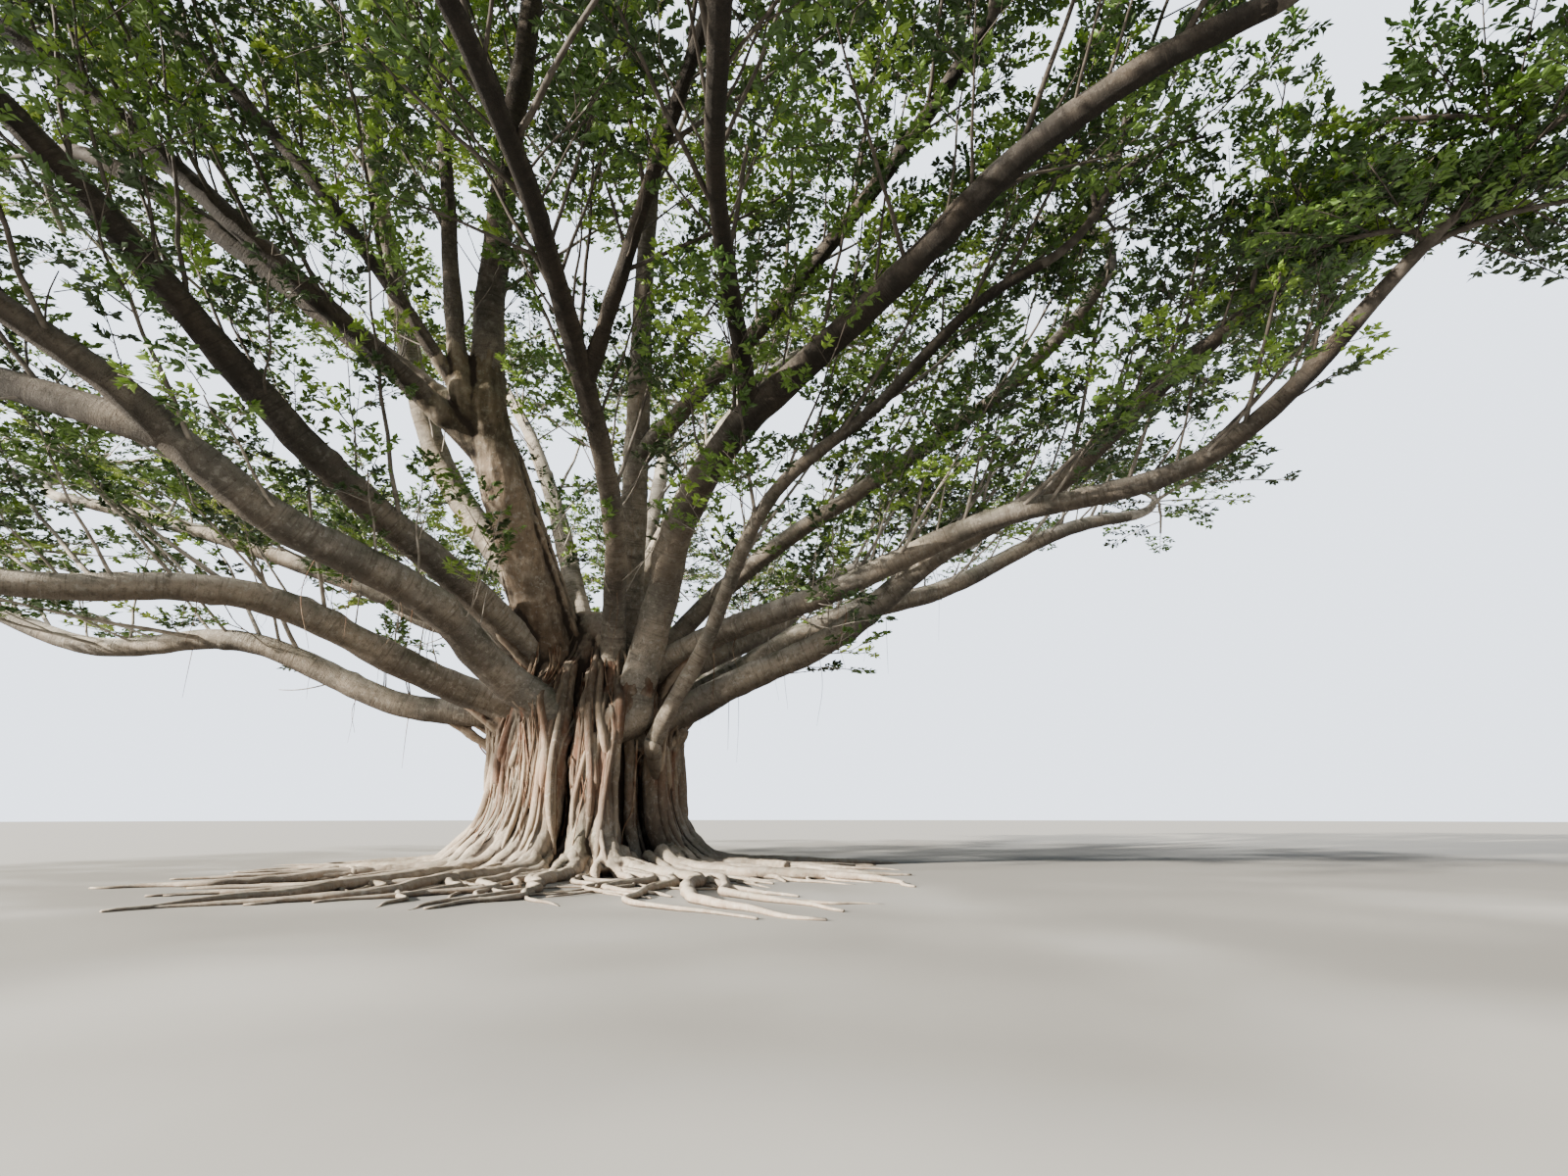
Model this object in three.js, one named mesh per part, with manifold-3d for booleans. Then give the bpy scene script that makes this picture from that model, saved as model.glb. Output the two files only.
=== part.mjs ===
// A spreading banyan tree: a trunk of fused aerial roots with its root flare on level ground, long boughs
// that radiate from it, and a wide, open crown in separate masses of foliage. Millimetres, +Z up; the
// origin is the centre of the flat cut at ground level. Bearings are degrees counter-clockwise from +X,
// and the tables below are in metres, as a tree is measured.
import * as THREE from "three";
import { mergeVertices } from "three/addons/utils/BufferGeometryUtils.js";
import Module from "manifold-3d";

const wasm = await Module();
wasm.setup();

// Driving sizes
const METRE = 1000;
const JOIN_GAP = 0.3; // between two solids that meet, in millimetres
const CROWN_HALF_SIDE = 19.85;
const CROWN_TOP = 21.9;
const CROWN_FOOT = 4.2;
const TRUNK_PROFILE = [ // [height, radius] of the trunk's core, in metres
  [0, 2.5], [0.9, 2.12], [3.2, 1.9], [4.7, 1.5], [6.2, 0.8],
];
const TRUNK_SIDES = 10;
const LEADER = {
  foot: [-169, 0.5, 3.6], sets_off: [-130, 66], tip: [-124, 4.1, 10.6], arrives: [-124, 60],
  across: [1.8, 1.25],
};
const STRANDS = 17; // aerial roots fused to the trunk, each running on as a root over the ground
const STRAND = {
  sides: 4, top: 5.1, heights: [3.2, 1.4, 0.45], proud: 0.04, twist: 14, spacing_play: 0.5,
  girths: { top: 0.2, waist: 0.3, toe: 0.38, tip: 0.06 }, // radii
};
const ROOT_FLARE = { height: 1.4, reach: 0.42, toe: 0.85 };
const SURFACE_ROOTS = { // spread is the longest and shortest reach, longest towards long_bearing
  long_bearing: -122, longest: 10.6, shortest: 6.2, steps: 3, bend: 26, meander: 5, turns: 1.2,
};
const HOLLOW = { bearing: -46, reach: 2.2, radius: 0.5, top: 3.1, sides: 7 }; // a recess at the front

// Boughs. foot and tip are [bearing, reach, height]; sets_off and arrives are [bearing, rise in degrees];
// sway is [sideways, upwards, turns, phase] of a gentle wave; across is the girth's diameter at each end.
const BOUGHS = {
  bough_left_lowest: {
    from: "trunk", foot: [-170, 2.3, 3.6], sets_off: [-170, 10], tip: [-172, 15.6, 6.3],
    arrives: [176, 12], sway: [-0.2, 0.5, 1.5, -0.36], across: [0.62, 0.32],
  },
  bough_left_low: {
    from: "trunk", foot: [-160, 2.1, 3.7], sets_off: [-149, 30], tip: [-153, 15.0, 6.6],
    arrives: [170, 21], sway: [0, 0.4, 1.5, -0.35], across: [0.76, 0.36],
  },
  bough_left_great: {
    from: "trunk", foot: [-110, 2.1, 3.7], sets_off: [-154, 33], tip: [-126, 9.7, 7.5],
    arrives: [-146, 27], sway: [0.24, -0.24, 1, 0.39], across: [0.82, 0.63],
  },
  bough_left_great_outer: {
    from: "bough_left_great", sets_off: [-160, 14], tip: [-139, 14.2, 8.9], arrives: [-138, 12],
    across: [0.56, 0.42],
  },
  bough_left_great_inner: {
    from: "bough_left_great", sets_off: [-112, 32], tip: [-128, 14.6, 10.2], arrives: [-127, 40],
    across: [0.48, 0.34],
  },
  bough_left_high: {
    from: "trunk", collar: 1.7, foot: [-133, 2.0, 5.1], sets_off: [-125, 32],
    tip: [-126, 12.7, 12.0], arrives: [-119, 34], sway: [0, 0.27, 0.85, 0.35], across: [0.78, 0.4],
  },
  bough_left_back: {
    from: "trunk", foot: [-177, 2.0, 5.3], sets_off: [177, 23], tip: [178, 15.4, 9.8],
    arrives: [173, 13], across: [0.56, 0.3],
  },
  bough_leader_left: {
    from: "leader", foot: [-131, 4.0, 10.3], sets_off: [-158, 28], tip: [-146, 11.2, 14.5],
    arrives: [-151, 21], across: [0.7, 0.38],
  },
  bough_leader_front: {
    from: "leader", foot: [-128, 4.3, 9.9], sets_off: [-134, 26], tip: [-137, 13.2, 15.3],
    arrives: [-154, 30], across: [0.52, 0.32],
  },
  bough_leader_top: {
    from: "leader", collar: 1.7, foot: [-122, 4.0, 10.3], sets_off: [175, 83],
    tip: [-96, 6.9, 18.7], arrives: [-64, 56], across: [0.8, 0.44],
  },
  bough_back_left_upright: {
    from: "trunk", foot: [166, 1.5, 6.0], sets_off: [171, 50], tip: [-151, 6.9, 19.0],
    arrives: [-75, 56], sway: [0.17, -0.29, 1.5, 0.66], across: [0.85, 0.4],
  },
  bough_front_overhead: {
    from: "trunk", collar: 2.4, foot: [-57, 1.4, 4.2], sets_off: [-90, 80], tip: [-90, 15.2, 11.6],
    arrives: [-103, 0], sway: [0.3, 0.65, 1.6, 0.36], across: [0.6, 0.21],
  },
  bough_front_side: {
    from: "bough_front_overhead", at: 0.44, sets_off: [-52, 50], tip: [-70, 10.9, 14.2],
    arrives: [-60, 22], across: [0.34, 0.24],
  },
  bough_centre_upright: {
    from: "trunk", foot: [-15, 0.8, 5.2], sets_off: [-70, 72], tip: [-69, 4.8, 16.7],
    arrives: [-73, 60], across: [0.82, 0.34],
  },
  bough_centre_right: {
    from: "bough_centre_upright", at: 0.4, sets_off: [-28, 36], tip: [-40, 11.9, 17.0],
    arrives: [-48, 36], across: [0.48, 0.28],
  },
  bough_right_great: {
    from: "trunk", collar: 2.4, foot: [-48, 2.1, 3.9], sets_off: [-17, 81], tip: [-42, 16.5, 13.0],
    arrives: [-27, 9], sway: [-0.46, 0.05, 1.5, -0.68], across: [0.85, 0.36],
  },
  bough_right_overhead: {
    from: "bough_right_great", at: 0.42, sets_off: [-102, 45], tip: [-74, 15.4, 11.6],
    arrives: [-85, 34], sway: [0.13, 0.45, 1, -0.22], across: [0.38, 0.27],
  },
  bough_right_long: {
    from: "trunk", foot: [-34, 2.0, 4.5], sets_off: [-20, 34], tip: [-26, 17.2, 10.0],
    arrives: [-50, 40], sway: [0.06, 0.33, 1.6, 0.4], across: [0.62, 0.32],
  },
  bough_right_low: {
    from: "trunk", foot: [-20, 1.9, 3.3], sets_off: [-2, 26], tip: [-19, 16.8, 12.5],
    arrives: [-32, 36], sway: [-0.05, -0.2, 2.5, -0.39], across: [0.74, 0.31],
  },
  bough_right_back: {
    from: "trunk", foot: [-2, 1.6, 5.0], sets_off: [-5, 54], tip: [-12, 13.4, 14.4],
    arrives: [-26, 52], across: [0.54, 0.3],
  },
  bough_far_left: {
    from: "trunk", foot: [150, 2.1, 4.4], sets_off: [150, 30], tip: [148, 14.4, 10.4],
    arrives: [146, 18], sway: [0.3, 0.3, 1.2, 0.1], across: [0.76, 0.36],
  },
  bough_far_left_low: {
    from: "trunk", foot: [118, 2.1, 3.8], sets_off: [118, 26], tip: [120, 15.0, 9.4],
    arrives: [118, 14], sway: [-0.3, 0.35, 1.4, 0.6], across: [0.86, 0.38],
  },
  bough_far_middle: {
    from: "trunk", foot: [91, 2.0, 4.8], sets_off: [88, 38], tip: [93, 14.2, 11.6],
    arrives: [95, 20], sway: [0.25, 0.3, 1.3, 0.3], across: [0.8, 0.36],
  },
  bough_far_right_low: {
    from: "trunk", foot: [62, 2.1, 3.8], sets_off: [60, 26], tip: [63, 15.2, 9.6],
    arrives: [64, 15], sway: [0.3, -0.3, 1.2, 0.2], across: [0.82, 0.36],
  },
  bough_far_right: {
    from: "trunk", foot: [36, 2.0, 4.6], sets_off: [34, 36], tip: [36, 14.8, 11.2],
    arrives: [36, 18], sway: [-0.25, 0.3, 1.5, 0.4], across: [0.76, 0.35],
  },
  bough_right_side_low: {
    from: "trunk", foot: [10, 2.1, 3.9], sets_off: [10, 28], tip: [9, 15.6, 10.0], arrives: [8, 16],
    sway: [0.3, 0.3, 1.4, 0.9], across: [0.72, 0.34],
  },
  bough_far_left_upright: {
    from: "trunk", foot: [125, 0.9, 5.9], sets_off: [130, 62], tip: [134, 7.5, 16.0],
    arrives: [134, 44], across: [0.62, 0.32],
  },
  bough_far_right_upright: {
    from: "trunk", foot: [62, 0.9, 5.9], sets_off: [66, 66], tip: [84, 7.5, 16.3],
    arrives: [86, 46], across: [0.6, 0.32],
  },
};

// Masses of foliage. centre is [bearing, reach, height]; spread is half its width and half its depth.
// A mass sits on a bough's tip, or has a limb of its own, from the trunk, as its stem.
const MASSES = {
  foliage_left_lowest: { on: "bough_left_lowest", centre: [-175, 17.2, 8.4], spread: [3.5, 2.4] },
  foliage_left_low: { on: "bough_left_low", centre: [-156, 17.0, 9.0], spread: [3.6, 2.6] },
  foliage_left_great_outer: {
    on: "bough_left_great_outer", centre: [-140, 17.4, 11.0], spread: [3.6, 2.7],
  },
  foliage_left_great_inner: {
    on: "bough_left_great_inner", centre: [-122, 17.4, 12.2], spread: [3.7, 2.8],
  },
  foliage_left_high: { on: "bough_left_high", centre: [-114, 14.6, 15.2], spread: [3.7, 2.6] },
  foliage_left_back: { on: "bough_left_back", centre: [170, 17.3, 12.0], spread: [3.7, 2.8] },
  foliage_leader_left: { on: "bough_leader_left", centre: [-163, 13.2, 15.4], spread: [3.8, 2.7] },
  foliage_leader_front: { on: "bough_leader_front", centre: [-142, 14.4, 16.0], spread: [3.5, 2.4] },
  foliage_leader_top: { on: "bough_leader_top", centre: [-90, 7.8, 19.9], spread: [3.9, 1.9] },
  foliage_back_left_upright: {
    on: "bough_back_left_upright", centre: [-168, 7.4, 19.9], spread: [4.0, 2.1],
  },
  foliage_front_overhead: { on: "bough_front_overhead", centre: [-97, 16.6, 13.4], spread: [3.7, 2.8] },
  foliage_front_side: { on: "bough_front_side", centre: [-82, 11.9, 17.2], spread: [3.7, 2.4] },
  foliage_centre_upright: { on: "bough_centre_upright", centre: [-20, 3.4, 20.2], spread: [4.0, 1.7] },
  foliage_centre_right: { on: "bough_centre_right", centre: [-46, 12.0, 18.0], spread: [3.8, 2.2] },
  foliage_right_great: { on: "bough_right_great", centre: [-46, 18.6, 13.8], spread: [3.7, 2.8] },
  foliage_right_overhead: { on: "bough_right_overhead", centre: [-72, 17.2, 13.6], spread: [3.7, 2.8] },
  foliage_right_long: { on: "bough_right_long", centre: [-29, 19.2, 11.4], spread: [3.5, 2.8] },
  foliage_right_low: { on: "bough_right_low", centre: [-12, 17.8, 13.6], spread: [3.6, 2.7] },
  foliage_right_back: { on: "bough_right_back", centre: [-6, 12.6, 17.2], spread: [3.8, 2.4] },
  foliage_far_left: { on: "bough_far_left", centre: [150, 17.0, 12.2], spread: [3.8, 2.8] },
  foliage_far_left_low: { on: "bough_far_left_low", centre: [126, 17.0, 11.3], spread: [3.8, 2.8] },
  foliage_far_middle: { on: "bough_far_middle", centre: [98, 16.8, 12.8], spread: [3.9, 2.9] },
  foliage_far_right_low: { on: "bough_far_right_low", centre: [70, 17.0, 11.5], spread: [3.8, 2.8] },
  foliage_far_right: { on: "bough_far_right", centre: [42, 17.0, 12.8], spread: [3.9, 2.9] },
  foliage_right_side_low: { on: "bough_right_side_low", centre: [14, 17.4, 11.6], spread: [3.8, 2.8] },
  foliage_far_left_upright: {
    on: "bough_far_left_upright", centre: [138, 10.0, 17.4], spread: [4.0, 2.5],
  },
  foliage_far_right_upright: {
    on: "bough_far_right_upright", centre: [88, 9.8, 17.9], spread: [4.0, 2.4],
  },
  foliage_leader_high: {
    from: "leader", foot: [-127, 4.2, 10.4], sets_off: [-118, 40], tip: [-134, 11.2, 16.8],
    arrives: [-151, 37], across: [0.34, 0.2], centre: [-124, 9.6, 18.9], spread: [3.6, 2.0],
  },
  foliage_leader_crown: {
    from: "leader", foot: [-124, 4.5, 10.5], sets_off: [-131, 72], tip: [-118, 6.5, 17.0],
    arrives: [-100, 65], across: [0.46, 0.26], centre: [-140, 4.6, 20.0], spread: [3.6, 1.8],
  },
  foliage_right_crossing: {
    from: "trunk", foot: [-40, 2.5, 2.9], sets_off: [-45, 57], tip: [-30, 11.9, 12.4],
    arrives: [-21, 24], sway: [0.44, 0.05, 1.7, -0.47], across: [0.38, 0.22],
    centre: [-27, 13.4, 15.2], spread: [3.6, 2.4],
  },
  foliage_far_crown: {
    from: "trunk", foot: [25, 0.6, 6.0], sets_off: [30, 68], tip: [34, 6.5, 16.5],
    arrives: [34, 44], across: [0.55, 0.28], centre: [36, 9.4, 17.9], spread: [4.0, 2.4],
  },
};

// Growth rule of a mass
const PRIMARIES = 5; // limbs that leave a mass's stem
const SPRAYS = 9; // on each primary; every third one is made here
const SPRAY = { length: 2.4, width: 1.3, thick: 0.06, splay: 52, roll: 24, lift: 0.1, shoulder: 0.06 };
const FIRST_SPRAY = 0.3; // along its primary
const STEM = { sides: 4, rings: 2, bend: 0.4, past_centre: 0.35, below_top: 0.8, tip_radius: 0.06 };
const PRIMARY_FEET = { first: 0.2, span: 0.75 }; // along the stem
const PRIMARY_LIFT = { lowest: -0.5, span: 1.3 }; // share of the mass's half depth
const PRIMARY_BEND = { pull: 0.3, rise: 0.25, play: 40 };
const TWIG = { sides: 3, rings: 2, foot: 0.075, tip: 0.035 }; // foot and tip are radii
const SPACE_MARGIN = 0.12; // kept to the neighbouring masses' spaces
const LIMB_CLEARANCE = 0.12;
const BEADS = 60; // points along a limb that twigs and leaves are measured from
const GOLDEN_ANGLE = 137.508;
const SKY_SHARE = 0.34; // of the sprays, left out
const SPRAY_LENGTHS = [1, 0.75, 0.55]; // a spray takes the longest that stays clear
const REACHES = [1, 0.9, 0.8, 0.7, 0.6, 0.5, 0.4, 0.3, 0.2]; // and a primary the longest in its space

// How limbs are drawn
const HANDLE = 0.36; // of the straight length, for the curve that a limb follows
const SINK = 0.09; // how far before its foot a collar starts, in the curve's own parameter
const COLLAR_LENGTH = 1.25;
const SIDE_COLLAR_LENGTH = 1.1; // for a bough that leaves another bough
const FLARE = { share: 0.12, length: 0.9 }; // a limb is thicker where it leaves what carries it
const TAPER = 0.85;
const STOUT = 0.7; // a limb thicker than this has the larger number of sides
const LIMB_SIDES = { stout: 7, slim: 5, leader: 8 };
const RING_SPACING = 2.9;

const Z = new THREE.Vector3(0, 0, 1);
const radians = THREE.MathUtils.degToRad;

// A fixed random number from 0 to 1 for each set of whole numbers.
const MIX = [374761393, 668265263, 2246822519, 3266489917];
function noise(...keys) {
  let h = 0;
  keys.forEach((key, i) => {
    h ^= Math.imul(key + 1, MIX[i]);
  });
  h = Math.imul(h ^ (h >>> 15), MIX[2]);
  h = Math.imul(h ^ (h >>> 13), MIX[3]);
  return ((h ^ (h >>> 16)) >>> 0) / 2 ** 32;
}

// The value at x in a table of [x, value] rows, on straight lines between them.
function read(table, x) {
  const above = table.findIndex(([at]) => at >= x);
  if (above <= 0) return table.at(above)[1];
  const [[x0, y0], [x1, y1]] = table.slice(above - 1, above + 1);
  return y0 + ((y1 - y0) * (x - x0)) / (x1 - x0);
}

function place([bearing, reach, height]) {
  const a = radians(bearing);
  return new THREE.Vector3(reach * Math.cos(a), reach * Math.sin(a), height);
}

function heading([bearing, rise]) {
  const r = radians(rise);
  return place([bearing, Math.cos(r), Math.sin(r)]);
}

// A limb's line: a cubic curve from foot to tip with a gentle wave in it. Metres.
class LimbLine extends THREE.Curve {
  constructor(foot, tip, limb) {
    super();
    const pull = foot.distanceTo(tip) * HANDLE;
    this.points = [
      foot,
      foot.clone().addScaledVector(heading(limb.sets_off), pull),
      tip.clone().addScaledVector(heading(limb.arrives), -pull),
      tip,
    ];
    this.sway = limb.sway ?? [0, 0, 1, 0];
    this.side = tip.clone().sub(foot).cross(Z).normalize();
  }
  getPoint(t) {
    const [a, b, c, d] = this.points;
    if (t < 0) return a.clone().lerp(b, 3 * t);
    const s = 1 - t;
    const p = a.clone().multiplyScalar(s ** 3);
    p.addScaledVector(b, 3 * s * s * t).addScaledVector(c, 3 * s * t * t).addScaledVector(d, t ** 3);
    const [sideways, upwards, turns, phase] = this.sway;
    const wave = 4 * t * s * Math.sin(2 * Math.PI * (turns * t + phase));
    return p.addScaledVector(this.side, sideways * wave).addScaledVector(Z, upwards * wave);
  }
}

// The stretch of a line between two of its parameters.
class Stretch extends THREE.Curve {
  constructor(line, start, end) {
    super();
    Object.assign(this, { line, start, end });
  }
  getPoint(t) {
    return this.line.getPoint(this.start + (this.end - this.start) * t);
  }
}

// A closed round solid along a curve: a cylinder, bent, with the radius that radiusAt gives for 0 to 1.
function bentCylinder(curve, radiusAt, sides, rings) {
  const frames = curve.computeFrenetFrames(rings, false);
  const spine = curve.getSpacedPoints(rings);
  const geometry = new THREE.CylinderGeometry(1, 1, rings, sides, rings);
  const position = geometry.getAttribute("position");
  for (let i = 0; i < position.count; i++) {
    const ring = Math.round(position.getY(i) + rings / 2);
    const radius = radiusAt(ring / rings);
    const at = spine[ring].clone();
    at.addScaledVector(frames.normals[ring], position.getX(i) * radius);
    at.addScaledVector(frames.binormals[ring], -position.getZ(i) * radius);
    position.setXYZ(i, at.x, at.y, at.z);
  }
  return geometry;
}

// Geometry in metres as a solid in millimetres.
function solidOf(geometry) {
  const bare = geometry.clone().scale(METRE, METRE, METRE);
  bare.deleteAttribute("normal");
  bare.deleteAttribute("uv");
  const merged = mergeVertices(bare, 1e-2);
  return new wasm.Manifold(
    new wasm.Mesh({
      numProp: 3,
      vertProperties: merged.getAttribute("position").array,
      triVerts: new Uint32Array(merged.index.array),
    }),
  );
}

// The largest body of several solids fused, without any loose scrap.
function fuse(solids) {
  const bodies = wasm.Manifold.union(solids).decompose();
  return bodies.sort((a, b) => b.volume() - a.volume())[0];
}

function geometryOf(solid) {
  const { vertProperties, numProp, numVert, triVerts } = solid.getMesh();
  const positions = new Float32Array(numVert * 3);
  for (let i = 0; i < numVert; i++) {
    positions.set(vertProperties.subarray(i * numProp, i * numProp + 3), i * 3);
  }
  const geometry = new THREE.BufferGeometry();
  geometry.setAttribute("position", new THREE.BufferAttribute(positions, 3));
  geometry.setIndex(new THREE.BufferAttribute(triVerts, 1));
  geometry.computeVertexNormals();
  return geometry;
}

// Every limb with its line: the leader, the boughs, and the masses' own limbs.
function drawLimb(name, limb, carriers) {
  const carrier = carriers[limb.from];
  const foot = limb.foot ? place(limb.foot) : carrier.line.getPoint(limb.at ?? 1);
  const line = new LimbLine(foot, place(limb.tip), limb);
  const length = line.getLength();
  const [foot_radius, tip_radius] = limb.across.map((d) => d / 2);
  const radiusAt = (t) => {
    const s = Math.min(Math.max(t, 0), 1);
    const plain = tip_radius + (foot_radius - tip_radius) * (1 - s) ** TAPER;
    return plain * (1 + FLARE.share * Math.exp((-s * length) / FLARE.length));
  };
  const on_bough = limb.from in BOUGHS;
  const collar = (limb.collar ?? (on_bough ? SIDE_COLLAR_LENGTH : COLLAR_LENGTH)) / length;
  return { name, ...limb, line, length, radiusAt, collar, on_bough };
}

const limbs = {};
limbs.leader = drawLimb("leader", LEADER, limbs);
for (const [name, limb] of Object.entries({ ...BOUGHS, ...MASSES })) {
  if (limb.foot || limb.from) limbs[name] = drawLimb(name, limb, limbs);
}

function stretchSolid(limb, start, end, sides) {
  const rings = Math.max(1, Math.round(((end - start) * limb.length) / RING_SPACING));
  const radiusAt = (t) => limb.radiusAt(start + (end - start) * t);
  return solidOf(bentCylinder(new Stretch(limb.line, start, end), radiusAt, sides, rings));
}

const sidesOf = (limb) => (limb.across[0] > STOUT ? LIMB_SIDES.stout : LIMB_SIDES.slim);
const collarsOn = (name) => Object.values(limbs).filter((limb) => limb.from === name);
const collarSolid = (limb) =>
  stretchSolid(limb, limb.on_bough ? 0 : -SINK, limb.collar, sidesOf(limb));

// The trunk: a core, the aerial roots fused to it, the leader and the collars that the boughs leave.
const coreRadius = (height) => read(TRUNK_PROFILE, height);

function trunkCore() {
  const profile = [[0, 0], ...TRUNK_PROFILE.map(([z, r]) => [r, z]), [0, TRUNK_PROFILE.at(-1)[0]]];
  const points = profile.map(([r, z]) => new THREE.Vector2(r, z));
  return solidOf(new THREE.LatheGeometry(points, TRUNK_SIDES).rotateX(Math.PI / 2));
}

function hollow() {
  const { bearing, reach, radius, top, sides } = HOLLOW;
  const cone = new THREE.CylinderGeometry(radius * 0.6, radius, top, sides);
  const at = place([bearing, reach, top / 2]);
  return solidOf(cone.rotateX(Math.PI / 2).translate(at.x, at.y, at.z));
}

// One aerial root: down the trunk, out at the toe and on over the ground.
function strand(i) {
  const play = STRAND.spacing_play * (noise(i, 0) - 0.5);
  const bearing = HOLLOW.bearing + ((i + 0.5 + play) * 360) / STRANDS;
  const twist = STRAND.twist * (noise(i, 1) - 0.5);
  const heights = [STRAND.top * (0.86 + 0.14 * noise(i, 2)), ...STRAND.heights];
  const upright = heights.map((z) => {
    const flare = ROOT_FLARE.reach * Math.max(0, 1 - z / ROOT_FLARE.height) ** 2;
    return place([bearing + (twist * z) / STRAND.top, coreRadius(z) + STRAND.proud + flare, z]);
  });
  const points = [...upright, ...rootPoints(i, bearing)];
  const rings = points.length - 1;
  const toe = heights.length / rings;
  const girth = 0.8 + 0.4 * noise(i, 6);
  const { girths } = STRAND;
  const table = [[0, girths.top], [toe * 0.7, girths.waist], [toe, girths.toe], [1, girths.tip]];
  const curve = new THREE.CatmullRomCurve3(points);
  return solidOf(bentCylinder(curve, (t) => girth * read(table, t), STRAND.sides, rings));
}

// The points of a strand's root over the ground, half sunk in it.
function rootPoints(i, bearing) {
  const { long_bearing, longest, shortest, steps, bend, meander, turns } = SURFACE_ROOTS;
  const towards_long = Math.cos(radians((bearing - long_bearing) / 1.2)) * 0.5 + 0.5;
  const reach = (shortest + (longest - shortest) * towards_long) * (0.78 + 0.3 * noise(i, 3));
  const toe = coreRadius(0) + ROOT_FLARE.toe;
  return Array.from({ length: steps + 1 }, (_, k) => {
    const along = k / steps;
    const wave = Math.sin(2 * Math.PI * (turns * along + noise(i, 5))) * Math.sqrt(along);
    const turned = bearing + bend * (noise(i, 4) - 0.5) * along + meander * wave;
    return place([turned, toe + (reach - toe) * along, 0.1 * (1 - along) - 0.01]);
  });
}

function groundCut(solid) {
  const side = 60;
  return solid.subtract(solidOf(new THREE.BoxGeometry(side, side, side).translate(0, 0, -side / 2)));
}

// The leader ends in a low dome, between the feet of the boughs that it divides into.
function leaderCrown() {
  const radius = limbs.leader.radiusAt(1) * 0.97;
  const dome = new THREE.SphereGeometry(radius, LIMB_SIDES.leader, 6).rotateX(Math.PI / 2).scale(1, 1, 0.8);
  const tip = limbs.leader.line.getPoint(1);
  return solidOf(dome.translate(tip.x, tip.y, tip.z));
}

function trunk() {
  const strands = Array.from({ length: STRANDS }, (_, i) => strand(i));
  const leader = stretchSolid(limbs.leader, -SINK, 1, LIMB_SIDES.leader);
  const collars = [...collarsOn("trunk"), ...collarsOn("leader")].map(collarSolid);
  const foot = fuse([trunkCore(), leader, leaderCrown(), ...strands]).subtract(hollow());
  return groundCut(fuse([foot, ...collars]));
}

function bough(name) {
  const limb = limbs[name];
  const start = limb.collar + JOIN_GAP / METRE / limb.length;
  const parts = [stretchSolid(limb, start, 1, sidesOf(limb)), ...collarsOn(name).map(collarSolid)];
  return fuse(parts);
}

// Spaces: a point belongs to the mass whose centre is nearest, inside the crown's own box.
const centres = Object.fromEntries(
  Object.entries(MASSES).map(([name, mass]) => [name, place(mass.centre)]),
);

function inSpace(name, point) {
  if (Math.abs(point.x) > CROWN_HALF_SIDE || Math.abs(point.y) > CROWN_HALF_SIDE) return false;
  if (point.z > CROWN_TOP || point.z < CROWN_FOOT) return false;
  const own = centres[name];
  return Object.entries(centres).every(([other, centre]) => {
    if (other === name) return true;
    const apart = centre.distanceTo(own);
    const lead = (point.distanceToSquared(centre) - point.distanceToSquared(own)) / (2 * apart);
    return lead > SPACE_MARGIN;
  });
}

// Beads along every limb, to keep twigs and leaves clear of them.
const beads = Object.values(limbs).flatMap((limb) =>
  Array.from({ length: BEADS + 1 }, (_, k) => ({
    at: limb.line.getPoint(k / BEADS),
    radius: limb.radiusAt(k / BEADS),
  })),
);

function clearOfLimbs(point) {
  return beads.every((bead) => point.distanceTo(bead.at) > bead.radius + LIMB_CLEARANCE);
}

// A mass's stem runs on from its bough's tip, or along its own limb, to beyond its centre.
function stemOf(name) {
  const mass = MASSES[name];
  const limb = limbs[mass.on ?? name];
  const tip = limb.line.getPoint(1);
  const along = limb.line.getTangent(1);
  const centre = centres[name];
  const end = centre.clone().add(centre.clone().sub(tip).multiplyScalar(STEM.past_centre));
  end.z = Math.min(end.z, CROWN_TOP - STEM.below_top);
  const start = mass.on ? tip.clone().addScaledVector(along, JOIN_GAP / METRE) : tip;
  const bend = start.clone().addScaledVector(along, start.distanceTo(end) * STEM.bend);
  return { line: new THREE.QuadraticBezierCurve3(start, bend, end), radius: limb.radiusAt(1) };
}

const massIndex = Object.fromEntries(Object.keys(MASSES).map((name, i) => [name, i]));

// The primaries of a mass: from its stem out to points spread evenly through its space.
function primariesOf(name, stem) {
  const m = massIndex[name];
  const [half_width, half_depth] = MASSES[name].spread;
  return Array.from({ length: PRIMARIES }, (_, i) => {
    const share = (i + 0.5) / PRIMARIES;
    const lift = PRIMARY_LIFT.lowest + PRIMARY_LIFT.span * share;
    const play = PRIMARY_BEND.play * (noise(m, i) - 0.5);
    const bearing = i * GOLDEN_ANGLE + 360 * noise(m, 99) + play;
    const flat = Math.sqrt(1 - lift * lift);
    const out = place([bearing, flat * half_width, lift * half_depth]);
    const beyond = out.clone().setLength(SPRAY.length / 2).add(centres[name]);
    const stays = (reach) => inSpace(name, beyond.clone().addScaledVector(out, reach));
    const reach = REACHES.find(stays) ?? REACHES.at(-1);
    const target = centres[name].clone().addScaledVector(out, reach);
    const t = PRIMARY_FEET.first + PRIMARY_FEET.span * share;
    const start = stem.line.getPoint(t);
    const pull = start.distanceTo(target) * PRIMARY_BEND.pull;
    const bend = start.clone().addScaledVector(stem.line.getTangent(t), pull);
    bend.z += PRIMARY_BEND.rise;
    return new THREE.QuadraticBezierCurve3(start, bend, target);
  });
}

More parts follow.
